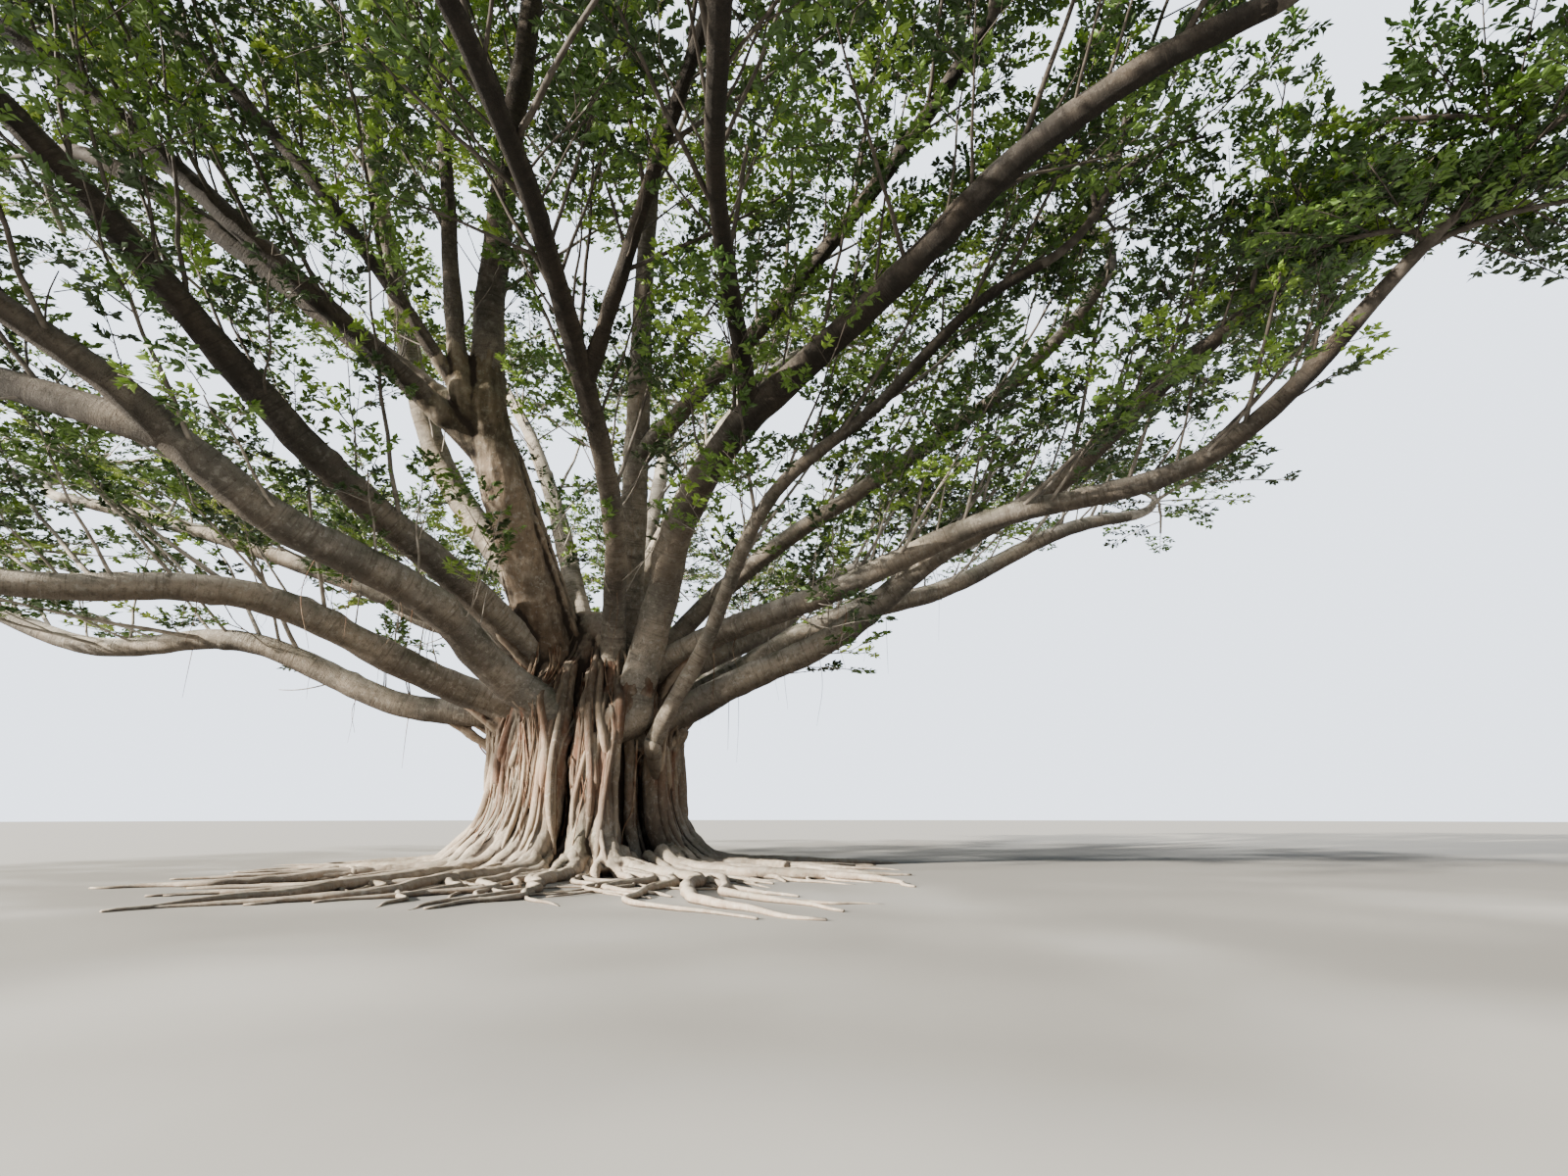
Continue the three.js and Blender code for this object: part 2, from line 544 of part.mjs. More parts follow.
// The sprays of a primary: to its left and right in turn, and one on from its tip.
function spraysOf(name, i, primary) {
  const m = massIndex[name];
  return Array.from({ length: SPRAYS }, (_, j) => {
    const t = Math.min(1, FIRST_SPRAY + ((1 - FIRST_SPRAY) * (j + 1)) / SPRAYS);
    const along = primary.getTangent(t);
    const side = along.clone().cross(Z).normalize();
    const up = side.clone().cross(along).normalize();
    const turn = j === SPRAYS - 1 ? 0 : radians(SPRAY.splay * (j % 2 ? 1 : -1));
    const roll = radians(SPRAY.roll * (2 * noise(m, i, j) - 1));
    const way = along.clone().multiplyScalar(Math.cos(turn));
    way.addScaledVector(side, Math.sin(turn) * Math.cos(roll));
    way.addScaledVector(up, Math.abs(Math.sin(turn)) * Math.sin(roll) + SPRAY.lift).normalize();
    const length = SPRAY.length * (0.82 + 0.36 * noise(m, i, j, 7));
    return { start: primary.getPoint(t), way, length };
  });
}

// One spray as a thin blade: widest before its middle, with its root sunk in the twig.
function blade({ start, way, length }) {
  const side = way.clone().cross(Z).normalize();
  const up = side.clone().cross(way).normalize();
  const geometry = new THREE.OctahedronGeometry(1, 0);
  const position = geometry.getAttribute("position");
  for (let i = 0; i < position.count; i++) {
    const [x, y, z] = [position.getX(i), position.getY(i), position.getZ(i)];
    const shoulder = SPRAY.shoulder * (1 - Math.abs(x));
    const at = start.clone();
    at.addScaledVector(way, ((x + 1) / 2 - shoulder) * length - TWIG.tip * 0.6);
    at.addScaledVector(side, (-y * SPRAY.width) / 2);
    at.addScaledVector(up, (z * SPRAY.thick) / 2);
    position.setXYZ(i, at.x, at.y, at.z);
  }
  return geometry;
}

function cornersOf(geometry) {
  const position = geometry.getAttribute("position");
  const corner = (_, i) => new THREE.Vector3().fromBufferAttribute(position, i);
  return Array.from({ length: position.count }, corner);
}

function sprayFits(name, spray) {
  const corners = cornersOf(blade(spray));
  if (!corners.every((corner) => inSpace(name, corner))) return false;
  const rib = [0.25, 0.5, 0.75, 1].map((share) =>
    spray.start.clone().addScaledVector(spray.way, share * spray.length),
  );
  return [...rib, ...corners].every(clearOfLimbs);
}

// A twig fits where it keeps to the mass's space, clear of every limb once it has left its foot.
function twigFits(name, curve) {
  const line = new THREE.CatmullRomCurve3(curve.getSpacedPoints(TWIG.rings), false, "centripetal", 0);
  const outer = line.getPoints(10).slice(3);
  return outer.every((point) => inSpace(name, point) && clearOfLimbs(point));
}

function foliage(name) {
  const mass = MASSES[name];
  const stem = stemOf(name);
  const solids = [];
  if (!mass.on) {
    const start = limbs[name].collar + JOIN_GAP / METRE / limbs[name].length;
    solids.push(stretchSolid(limbs[name], start, 1, LIMB_SIDES.slim));
  }
  const stemRadius = (t) => stem.radius + (STEM.tip_radius - stem.radius) * t;
  solids.push(solidOf(bentCylinder(stem.line, stemRadius, STEM.sides, STEM.rings)));
  const twigRadius = (t) => TWIG.foot + (TWIG.tip - TWIG.foot) * t;
  primariesOf(name, stem).forEach((primary, i) => {
    if (!twigFits(name, primary)) return;
    solids.push(solidOf(bentCylinder(primary, twigRadius, TWIG.sides, TWIG.rings)));
    spraysOf(name, i, primary).forEach((spray, j) => {
      if (j % 3 !== 2 || noise(massIndex[name], i, j, 1) < SKY_SHARE) return;
      const lengths = SPRAY_LENGTHS.map((share) => ({ ...spray, length: spray.length * share }));
      const fitting = lengths.find((shorter) => sprayFits(name, shorter));
      if (fitting) solids.push(solidOf(blade(fitting)));
    });
  });
  return fuse(solids);
}

const bark = new THREE.MeshStandardMaterial({ color: 0x9a8a78, roughness: 0.9, metalness: 0 });
const root_bark = new THREE.MeshStandardMaterial({ color: 0x8d7560, roughness: 0.92, metalness: 0 });
const leaf = new THREE.MeshStandardMaterial({ color: 0x3f5f22, roughness: 0.55, metalness: 0 });

const tree = new THREE.Group();
function add(name, solid, material) {
  const mesh = new THREE.Mesh(geometryOf(solid), material);
  mesh.name = name;
  tree.add(mesh);
}
add("trunk", trunk(), root_bark);
Object.keys(BOUGHS).forEach((name) => add(name, bough(name), bark));
Object.keys(MASSES).forEach((name) => add(name, foliage(name), leaf));

export default tree;
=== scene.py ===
# A spreading banyan tree on a plain pale floor: a trunk of fused aerial roots, its root flare and
# surface roots, long boughs with smooth ringed bark, and an open crown of twigs and leaves.
# Metres, +Z up, bearings in degrees counter-clockwise from +X; the photograph looks along +Y.
import math

import bpy
import numpy as np
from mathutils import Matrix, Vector
from mathutils.bvhtree import BVHTree


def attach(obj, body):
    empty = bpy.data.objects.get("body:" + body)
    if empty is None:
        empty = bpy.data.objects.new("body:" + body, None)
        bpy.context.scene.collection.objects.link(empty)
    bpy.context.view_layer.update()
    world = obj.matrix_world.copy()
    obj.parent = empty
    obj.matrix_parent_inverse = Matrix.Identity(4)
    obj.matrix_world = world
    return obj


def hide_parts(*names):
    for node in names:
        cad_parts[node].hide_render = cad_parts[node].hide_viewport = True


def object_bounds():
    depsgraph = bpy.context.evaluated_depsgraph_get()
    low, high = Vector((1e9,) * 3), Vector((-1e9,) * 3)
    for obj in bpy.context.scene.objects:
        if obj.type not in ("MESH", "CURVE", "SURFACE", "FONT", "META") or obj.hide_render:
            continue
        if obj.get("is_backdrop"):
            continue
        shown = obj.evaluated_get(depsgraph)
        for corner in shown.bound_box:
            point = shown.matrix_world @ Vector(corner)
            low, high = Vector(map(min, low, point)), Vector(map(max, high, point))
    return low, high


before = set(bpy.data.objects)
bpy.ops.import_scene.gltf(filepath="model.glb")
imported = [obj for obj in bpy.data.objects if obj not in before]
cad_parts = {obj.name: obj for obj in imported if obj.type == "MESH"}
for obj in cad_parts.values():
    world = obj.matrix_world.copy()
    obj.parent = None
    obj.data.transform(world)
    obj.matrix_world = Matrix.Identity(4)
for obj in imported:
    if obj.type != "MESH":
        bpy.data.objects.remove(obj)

CAD_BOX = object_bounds()
Z = np.array([0.0, 0.0, 1.0])
TURN = 2 * math.pi
EYE = (4.9, -20.0, 1.2)

# The tree's driving sizes, as in the part
CROWN_HALF_SIDE, CROWN_TOP, CROWN_FOOT = 19.85, 21.9, 4.2
TRUNK_PROFILE = [(0, 2.5), (0.9, 2.12), (3.2, 1.9), (4.7, 1.5), (6.2, 0.8)]
STRANDS = 17
STRAND_TOP, STRAND_HEIGHTS = 5.1, (3.2, 1.4, 0.45)
STRAND_PROUD, STRAND_TWIST, SPACING_PLAY = 0.04, 14, 0.5
STRAND_GIRTHS = dict(top=0.2, waist=0.3, toe=0.38, tip=0.06)
FLARE_HEIGHT, FLARE_REACH, FLARE_TOE = 1.4, 0.42, 0.85
ROOT_REACH = dict(towards=-122, longest=10.6, shortest=6.2)
ROOT_BEND, ROOT_MEANDER, ROOT_TURNS = 26, 5, 1.2
HOLLOW_BEARING, HOLLOW_TOP, HOLLOW_ROOM = -45, 4.2, 18.5
HOLLOW_WIDTH, HOLLOW_DEPTH, HOLLOW_FADE = 21, 1.2, 0.6


def sizes_of(carrier, foot, sets_off, tip, arrives, across, **more):
    """A limb's sizes: foot and tip are bearing, reach and height, and a limb without a foot leaves
    its carrier; sets_off and arrives are bearing and rise; across is the diameter at foot and tip;
    sway is sideways, upwards, turns and phase."""
    return dict(carrier=carrier, foot=foot, sets_off=sets_off, tip=tip, arrives=arrives,
                across=across, **more)


LEADER = sizes_of(None, (-169, 0.5, 3.6), (-130, 66), (-124, 4.1, 10.6), (-124, 60), (1.8, 1.25))
BOUGHS = {"bough_" + name: sizes for name, sizes in dict(
    left_lowest=sizes_of("trunk", (-170, 2.3, 3.6), (-170, 10), (-172, 15.6, 6.3), (176, 12),
                         (0.62, 0.32), sway=(-0.2, 0.5, 1.5, -0.36)),
    left_low=sizes_of("trunk", (-160, 2.1, 3.7), (-149, 30), (-153, 15.0, 6.6), (170, 21),
                      (0.76, 0.36), sway=(0, 0.4, 1.5, -0.35)),
    left_great=sizes_of("trunk", (-110, 2.1, 3.7), (-154, 33), (-126, 9.7, 7.5), (-146, 27),
                        (0.82, 0.63), sway=(0.24, -0.24, 1, 0.39)),
    left_great_outer=sizes_of("bough_left_great", None, (-160, 14), (-139, 14.2, 8.9), (-138, 12),
                              (0.56, 0.42)),
    left_great_inner=sizes_of("bough_left_great", None, (-112, 32), (-128, 14.6, 10.2), (-127, 40),
                              (0.48, 0.34)),
    left_high=sizes_of("trunk", (-133, 2.0, 5.1), (-125, 32), (-126, 12.7, 12.0), (-119, 34),
                       (0.78, 0.4), sway=(0, 0.27, 0.85, 0.35), collar=1.7),
    left_back=sizes_of("trunk", (-177, 2.0, 5.3), (177, 23), (178, 15.4, 9.8), (173, 13), (0.56, 0.3)),
    leader_left=sizes_of("leader", (-131, 4.0, 10.3), (-158, 28), (-146, 11.2, 14.5), (-151, 21),
                         (0.7, 0.38)),
    leader_front=sizes_of("leader", (-128, 4.3, 9.9), (-134, 26), (-137, 13.2, 15.3), (-154, 30),
                          (0.52, 0.32)),
    leader_top=sizes_of("leader", (-122, 4.0, 10.3), (175, 83), (-96, 6.9, 18.7), (-64, 56),
                        (0.8, 0.44), collar=1.7),
    back_left_upright=sizes_of("trunk", (166, 1.5, 6.0), (171, 50), (-151, 6.9, 19.0), (-75, 56),
                               (0.85, 0.4), sway=(0.17, -0.29, 1.5, 0.66)),
    front_overhead=sizes_of("trunk", (-57, 1.4, 4.2), (-90, 80), (-90, 15.2, 11.6), (-103, 0),
                            (0.6, 0.21), sway=(0.3, 0.65, 1.6, 0.36), collar=2.4),
    front_side=sizes_of("bough_front_overhead", None, (-52, 50), (-70, 10.9, 14.2), (-60, 22),
                        (0.34, 0.24), at=0.44),
    centre_upright=sizes_of("trunk", (-15, 0.8, 5.2), (-70, 72), (-69, 4.8, 16.7), (-73, 60),
                            (0.82, 0.34)),
    centre_right=sizes_of("bough_centre_upright", None, (-28, 36), (-40, 11.9, 17.0), (-48, 36),
                          (0.48, 0.28), at=0.4),
    right_great=sizes_of("trunk", (-48, 2.1, 3.9), (-17, 81), (-42, 16.5, 13.0), (-27, 9),
                         (0.85, 0.36), sway=(-0.46, 0.05, 1.5, -0.68), collar=2.4),
    right_overhead=sizes_of("bough_right_great", None, (-102, 45), (-74, 15.4, 11.6), (-85, 34),
                            (0.38, 0.27), sway=(0.13, 0.45, 1, -0.22), at=0.42),
    right_long=sizes_of("trunk", (-34, 2.0, 4.5), (-20, 34), (-26, 17.2, 10.0), (-50, 40),
                        (0.62, 0.32), sway=(0.06, 0.33, 1.6, 0.4)),
    right_low=sizes_of("trunk", (-20, 1.9, 3.3), (-2, 26), (-19, 16.8, 12.5), (-32, 36),
                       (0.74, 0.31), sway=(-0.05, -0.2, 2.5, -0.39)),
    right_back=sizes_of("trunk", (-2, 1.6, 5.0), (-5, 54), (-12, 13.4, 14.4), (-26, 52), (0.54, 0.3)),
    far_left=sizes_of("trunk", (150, 2.1, 4.4), (150, 30), (148, 14.4, 10.4), (146, 18),
                      (0.76, 0.36), sway=(0.3, 0.3, 1.2, 0.1)),
    far_left_low=sizes_of("trunk", (118, 2.1, 3.8), (118, 26), (120, 15.0, 9.4), (118, 14),
                          (0.86, 0.38), sway=(-0.3, 0.35, 1.4, 0.6)),
    far_middle=sizes_of("trunk", (91, 2.0, 4.8), (88, 38), (93, 14.2, 11.6), (95, 20),
                        (0.8, 0.36), sway=(0.25, 0.3, 1.3, 0.3)),
    far_right_low=sizes_of("trunk", (62, 2.1, 3.8), (60, 26), (63, 15.2, 9.6), (64, 15),
                           (0.82, 0.36), sway=(0.3, -0.3, 1.2, 0.2)),
    far_right=sizes_of("trunk", (36, 2.0, 4.6), (34, 36), (36, 14.8, 11.2), (36, 18),
                       (0.76, 0.35), sway=(-0.25, 0.3, 1.5, 0.4)),
    right_side_low=sizes_of("trunk", (10, 2.1, 3.9), (10, 28), (9, 15.6, 10.0), (8, 16),
                            (0.72, 0.34), sway=(0.3, 0.3, 1.4, 0.9)),
    far_left_upright=sizes_of("trunk", (125, 0.9, 5.9), (130, 62), (134, 7.5, 16.0), (134, 44),
                              (0.62, 0.32)),
    far_right_upright=sizes_of("trunk", (62, 0.9, 5.9), (66, 66), (84, 7.5, 16.3), (86, 46),
                               (0.6, 0.32)),
).items()}
# The slimmer limbs that belong to a mass of foliage of their own
MASS_LIMBS = {"foliage_" + name: sizes for name, sizes in dict(
    leader_high=sizes_of("leader", (-127, 4.2, 10.4), (-118, 40), (-134, 11.2, 16.8), (-151, 37),
                         (0.34, 0.2)),
    leader_crown=sizes_of("leader", (-124, 4.5, 10.5), (-131, 72), (-118, 6.5, 17.0), (-100, 65),
                          (0.46, 0.26)),
    right_crossing=sizes_of("trunk", (-40, 2.5, 2.9), (-45, 57), (-30, 11.9, 12.4), (-21, 24),
                            (0.38, 0.22), sway=(0.44, 0.05, 1.7, -0.47)),
    far_crown=sizes_of("trunk", (25, 0.6, 6.0), (30, 68), (34, 6.5, 16.5), (34, 44), (0.55, 0.28)),
).items()}

# Masses of foliage, each on the bough of its name or on its own limb: bearing, reach and height of
# its centre, and half its width and its depth
MASSES = {"foliage_" + name: dict(centre=sizes[:3], spread=sizes[3:]) for name, sizes in dict(
    left_lowest=(-175, 17.2, 8.4, 3.5, 2.4),
    left_low=(-156, 17.0, 9.0, 3.6, 2.6),
    left_great_outer=(-140, 17.4, 11.0, 3.6, 2.7),
    left_great_inner=(-122, 17.4, 12.2, 3.7, 2.8),
    left_high=(-114, 14.6, 15.2, 3.7, 2.6),
    left_back=(170, 17.3, 12.0, 3.7, 2.8),
    leader_left=(-163, 13.2, 15.4, 3.8, 2.7),
    leader_front=(-142, 14.4, 16.0, 3.5, 2.4),
    leader_top=(-90, 7.8, 19.9, 3.9, 1.9),
    back_left_upright=(-168, 7.4, 19.9, 4.0, 2.1),
    front_overhead=(-97, 16.6, 13.4, 3.7, 2.8),
    front_side=(-82, 11.9, 17.2, 3.7, 2.4),
    centre_upright=(-20, 3.4, 20.2, 4.0, 1.7),
    centre_right=(-46, 12.0, 18.0, 3.8, 2.2),
    right_great=(-46, 18.6, 13.8, 3.7, 2.8),
    right_overhead=(-72, 17.2, 13.6, 3.7, 2.8),
    right_long=(-29, 19.2, 11.4, 3.5, 2.8),
    right_low=(-12, 17.8, 13.6, 3.6, 2.7),
    right_back=(-6, 12.6, 17.2, 3.8, 2.4),
    far_left=(150, 17.0, 12.2, 3.8, 2.8),
    far_left_low=(126, 17.0, 11.3, 3.8, 2.8),
    far_middle=(98, 16.8, 12.8, 3.9, 2.9),
    far_right_low=(70, 17.0, 11.5, 3.8, 2.8),
    far_right=(42, 17.0, 12.8, 3.9, 2.9),
    right_side_low=(14, 17.4, 11.6, 3.8, 2.8),
    far_left_upright=(138, 10.0, 17.4, 4.0, 2.5),
    far_right_upright=(88, 9.8, 17.9, 4.0, 2.4),
    leader_high=(-124, 9.6, 18.9, 3.6, 2.0),
    leader_crown=(-140, 4.6, 20.0, 3.6, 1.8),
    right_crossing=(-27, 13.4, 15.2, 3.6, 2.4),
    far_crown=(36, 9.4, 17.9, 4.0, 2.4),
).items()}
MASS_NAMES = list(MASSES)

# The growth rule, as in the part
PRIMARIES, SPRAYS = 5, 9
SPRAY = dict(length=2.4, width=1.3, splay=52, roll=24, lift=0.1)
FIRST_SPRAY, SHOULDER = 0.3, 0.44
STEM = dict(bend=0.4, past_centre=0.35, below_top=0.8, tip_radius=0.06)
PRIMARY_FEET, PRIMARY_LIFT = (0.2, 0.75), (-0.5, 1.3)
PRIMARY_BEND = dict(pull=0.3, rise=0.25, play=40)
PRIMARY_RADII = (0.075, 0.035)
SPACE_MARGIN, LIMB_CLEARANCE = 0.12, 0.12
BEADS = 60
GOLDEN_ANGLE = 137.508
SPRAY_LENGTHS = (1, 0.75, 0.55)
REACHES = (1, 0.9, 0.8, 0.7, 0.6, 0.5, 0.4, 0.3, 0.2)
HANDLE = 0.36
SINK = 0.09
COLLAR_LENGTH, SIDE_COLLAR_LENGTH = 1.25, 1.1
FLARE_SHARE, FLARE_LENGTH = 0.12, 0.9
TAPER = 0.85

# Seeds of everything that is drawn at random, and what only the scene has
TRUNK_SEED, ROOT_SEED, THREAD_SEED, LEAF_SEED = 11, 31, 51, 71
EXTRA_SPRAY_SEED, BRANCH_SEED, SHOOT_SEED, LEADER_SHOOT_SEED, BARK_SEED = 600, 700, 800, 900, 300
THIN_STRANDS, LEADER_STRANDS, LAID_STRANDS, THREADS = 52, 11, 140, 90
CORE = dict(foot=-0.3, top=6.2, rings=27, step=6, share=0.88)
TRUNK_VOXEL, BROAD_HOLLOW = 0.05, 0.16
FINE_ROUNDS, BROAD_ROUNDS = 10, 70
BROAD_SHADE, RECESS_SHADE = 0.3, 0.34
TRUNK_SKIN_REACH = 5.2
STEMS_APART, STEM_GIRTH = 0.36, 0.72
LAID_IN_FRONT, THREADS_IN_FRONT, FREE_ROOTS_A_BOUGH = 90, 55, 5
BOUGH_SIDES, BOUGH_RING_SPACING, HEEL_RINGS = 26, 0.11, 5
ROUND_END = np.array([0.25, 0.5, 0.72, 0.9, 0.985])
SWELL_LENGTH, KNOTS_A_METRE = 1.3, 0.7
BRANCHES_A_METRE, SHOOTS_A_METRE = 1.6, 2.0
FIRST_BRANCH, BRANCHED_PART = 0.3, 0.66
DENSE_MASSES = ("foliage_right_long", "foliage_right_low", "foliage_right_overhead")
EXTRA_SPRAYS = 13
FREE_ROOT_BOUGHS = [f"bough_{name}" for name in (
    "left_lowest", "left_low", "left_great", "left_high", "left_back", "right_great", "right_long",
    "right_low", "front_overhead", "centre_upright", "far_middle", "far_left_low", "far_right_low",
    "right_side_low")]
TRIANGLES_A_PIECE = 190000


# Seeded draws and small vector tools
MIX = (374761393, 668265263, 2246822519, 3266489917)
WORD = 0xFFFFFFFF


def draw(*keys):
    """A fixed random number from 0 to 1 for each set of whole numbers, as in the part."""
    h = 0
    for key, mix in zip(keys, MIX):
        h ^= ((key + 1) * mix) & WORD
    h = ((h ^ (h >> 15)) * MIX[2]) & WORD
    h = ((h ^ (h >> 13)) * MIX[3]) & WORD
    return (h ^ (h >> 16)) / 2**32


def place(bearing, reach, height):
    a = math.radians(bearing)
    return np.array([reach * math.cos(a), reach * math.sin(a), height])


def heading(bearing, rise):
    r = math.radians(rise)
    return place(bearing, math.cos(r), math.sin(r))


def bearing_of(point):
    return math.degrees(math.atan2(point[1], point[0]))


def turned_from(bearing, other):
    return (bearing - other + 180) % 360 - 180


def unit(v):
    return v / np.maximum(np.linalg.norm(v, axis=-1, keepdims=True), 1e-9)


def level_side(way):
    """The level direction to the right of a heading."""
    return unit(np.cross(way, Z))


def read(table, x):
    return np.interp(x, [row[0] for row in table], [row[1] for row in table])


def bend(points, t):
    """Points of a quadratic curve through three controls."""
    a, b, c = points
    t = np.asarray(t)[..., None]
    return (1 - t) ** 2 * a + 2 * t * (1 - t) * b + t**2 * c


def bend_heading(points, t):
    a, b, c = points
    return unit(2 * (1 - t) * (b - a) + 2 * t * (c - b))


def waves(points, size, seed, count=7):
    """Smooth random waves of about the given size, from -1 to 1."""
    dice = np.random.default_rng(seed)
    total = np.zeros(points.shape[:-1])
    for _ in range(count):
        way = unit(dice.normal(size=3))
        pitch = TURN / (size * dice.uniform(0.6, 1.5))
        total += np.sin(points @ way * pitch + dice.uniform(0, TURN))
    return total / count * 1.6


def smooth_line(points, steps):
    """A smooth line through points, with steps to each stretch."""
    p = np.vstack([2 * points[0] - points[1], points, 2 * points[-1] - points[-2]])
    t = np.linspace(0, 1, steps, endpoint=False)[:, None]
    rows = []
    for a, b, c, d in zip(p, p[1:], p[2:], p[3:]):
        rows.append(0.5 * (2 * b + (c - a) * t + (2 * a - 5 * b + 4 * c - d) * t**2
                           + (3 * b - a - 3 * c + d) * t**3))
    return np.vstack([*rows, points[-1:]])


def tapered(points, steps, girth, shares):
    """A smooth line through points, with the girth's shares along it from 0 to 1."""
    line = smooth_line(np.array(points), steps)
    return line, girth * read(shares, np.linspace(0, 1, len(line)))


# The limbs' lines
class LimbLine:
    """A cubic curve from foot to tip with a gentle wave in it."""

    def __init__(self, foot, tip, sizes):
        pull = np.linalg.norm(tip - foot) * HANDLE
        self.points = (foot, foot + heading(*sizes["sets_off"]) * pull,
                       tip - heading(*sizes["arrives"]) * pull, tip)
        self.sway = sizes.get("sway", (0, 0, 1, 0))
        self.side = level_side(tip - foot)

    def at(self, t):
        a, b, c, d = self.points
        t = np.asarray(t, dtype=float)[..., None]
        s = 1 - t
        sideways, upwards, turns, phase = self.sway
        wave = 4 * t * s * np.sin(TURN * (turns * t + phase))
        curve = s**3 * a + 3 * s * s * t * b + 3 * s * t * t * c + t**3 * d
        swayed = curve + (sideways * self.side + upwards * Z) * wave
        return np.where(t < 0, a + (b - a) * 3 * t, swayed)

    def heading_at(self, t):
        step = 1e-4
        return unit(self.at(min(t + step, 1)) - self.at(max(t - step, 0)))


class Limb:
    def __init__(self, name, sizes, limbs):
        self.name = name
        self.carrier = sizes["carrier"]
        self.at = sizes.get("at", 1)
        parent = limbs.get(self.carrier)
        foot = place(*sizes["foot"]) if sizes["foot"] else parent.line.at(self.at)
        self.line = LimbLine(foot, place(*sizes["tip"]), sizes)
        self.foot = self.line.at(0.0)
        rungs = self.line.at(np.linspace(0, 1, 201))
        self.length = float(np.linalg.norm(np.diff(rungs, axis=0), axis=1).sum())
        self.foot_radius, self.tip_radius = (d / 2 for d in sizes["across"])
        self.on_bough = self.carrier in BOUGHS
        self.swell = 1.0
        if self.on_bough:
            self.swell = 0.96 * parent.tip_radius / self.foot_radius if self.at == 1 else 1.3
        usual = SIDE_COLLAR_LENGTH if self.on_bough else COLLAR_LENGTH
        self.collar = sizes.get("collar", usual) / self.length

    def radius(self, t):
        s = np.clip(t, 0, 1)
        plain = self.tip_radius + (self.foot_radius - self.tip_radius) * (1 - s) ** TAPER
        return plain * (1 + FLARE_SHARE * np.exp(-s * self.length / FLARE_LENGTH))

    def is_outer(self):
        """Whether the limb leaves the trunk's side, with its foot in the open."""
        reach = math.hypot(self.foot[0], self.foot[1])
        return self.carrier == "trunk" and reach > core_radius(self.foot[2]) - 0.35


limbs = {"leader": Limb("leader", LEADER, {})}
for limb_name, limb_sizes in {**BOUGHS, **MASS_LIMBS}.items():
    limbs[limb_name] = Limb(limb_name, limb_sizes, limbs)
leader = limbs["leader"]
FORKED_AT_THE_TIP = {limb.carrier for limb in limbs.values() if limb.on_bough and limb.at == 1}
BEAD_AT = np.vstack([limb.line.at(np.linspace(0, 1, BEADS + 1)) for limb in limbs.values()])
BEAD_RADIUS = np.hstack([limb.radius(np.linspace(0, 1, BEADS + 1)) for limb in limbs.values()])
CENTRES = np.array([place(*mass["centre"]) for mass in MASSES.values()])


def limbs_on(carrier):
    return [limb for limb in limbs.values() if limb.carrier == carrier]


def in_crown(points):
    inside = np.all(np.abs(points[..., :2]) <= CROWN_HALF_SIDE, axis=-1)
    return inside & (points[..., 2] <= CROWN_TOP) & (points[..., 2] >= CROWN_FOOT)


def in_space(m, points):
    """Whether each point is in the crown and nearer to mass m's centre than to any other."""
    gaps = ((points[..., None, :] - CENTRES) ** 2).sum(axis=-1)
    apart = np.linalg.norm(CENTRES - CENTRES[m], axis=1)
    apart[m] = 1
    lead = (gaps - gaps[..., m:m + 1]) / (2 * apart)
    lead[..., m] = 1
    return in_crown(points) & np.all(lead > SPACE_MARGIN, axis=-1)


def fits(points, m=None):
    """Whether points lie in the crown, or in mass m's space, and clear of all limbs."""
    if not np.all(in_crown(points) if m is None else in_space(m, points)):
        return False
    return clear_of_limbs(points)


def clear_of_limbs(points):
    gaps = np.linalg.norm(points[..., None, :] - BEAD_AT, axis=-1)
    return bool(np.all(gaps > BEAD_RADIUS + LIMB_CLEARANCE))


# Mesh making
class Sheaf:
    """Gathers vertices, faces and one number for each vertex into a single mesh."""

    def __init__(self):
        self.verts, self.faces, self.marks, self.count = [], [], [], 0

    def add(self, verts, faces, marks=None):
        verts = verts.reshape(-1, 3)
        self.verts.append(verts)
        self.faces += [np.asarray(group) + self.count for group in faces if len(group)]
        self.marks.append(np.zeros(len(verts)) if marks is None else np.asarray(marks).reshape(-1))
        self.count += len(verts)

    def add_limb(self, line, radii, sides):
        self.add(limb_tube(line, radii, sides)[0], ring_faces(1, len(line), sides))

    def mesh(self, name, smooth=True, mark="along"):
        verts = np.vstack(self.verts)
        mesh = bpy.data.meshes.new(name)
        mesh.vertices.add(len(verts))
        mesh.vertices.foreach_set("co", verts.astype(np.float32).ravel())
        sizes = np.concatenate([np.full(len(group), group.shape[1]) for group in self.faces])
        corners = np.concatenate([group.ravel() for group in self.faces])
        mesh.loops.add(len(corners))
        mesh.loops.foreach_set("vertex_index", corners.astype(np.int32))
        mesh.polygons.add(len(sizes))
        starts = np.concatenate([[0], np.cumsum(sizes)[:-1]])
        mesh.polygons.foreach_set("loop_start", starts.astype(np.int32))
        mesh.polygons.foreach_set("use_smooth", np.full(len(sizes), smooth))
        mesh.update(calc_edges=True)
        if mark:
            write_mark(mesh, mark, np.concatenate(self.marks))
        return mesh


def write_mark(mesh, name, values):
    layer = mesh.attributes.new(name, "FLOAT", "POINT")
    layer.data.foreach_set("value", values.astype(np.float32))


def read_rows(items, name, width, kind=np.float32):
    flat = np.empty(len(items) * width, dtype=kind)
    items.foreach_get(name, flat)
    return flat.reshape(-1, width)


def piece(name, mesh, material, nodes):
    """One finished piece of the tree, standing for the solids of the named nodes."""
    obj = bpy.data.objects.new(name, mesh)
    bpy.context.scene.collection.objects.link(obj)
    mesh.materials.append(material)
    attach(obj, "root")
    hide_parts(*nodes)


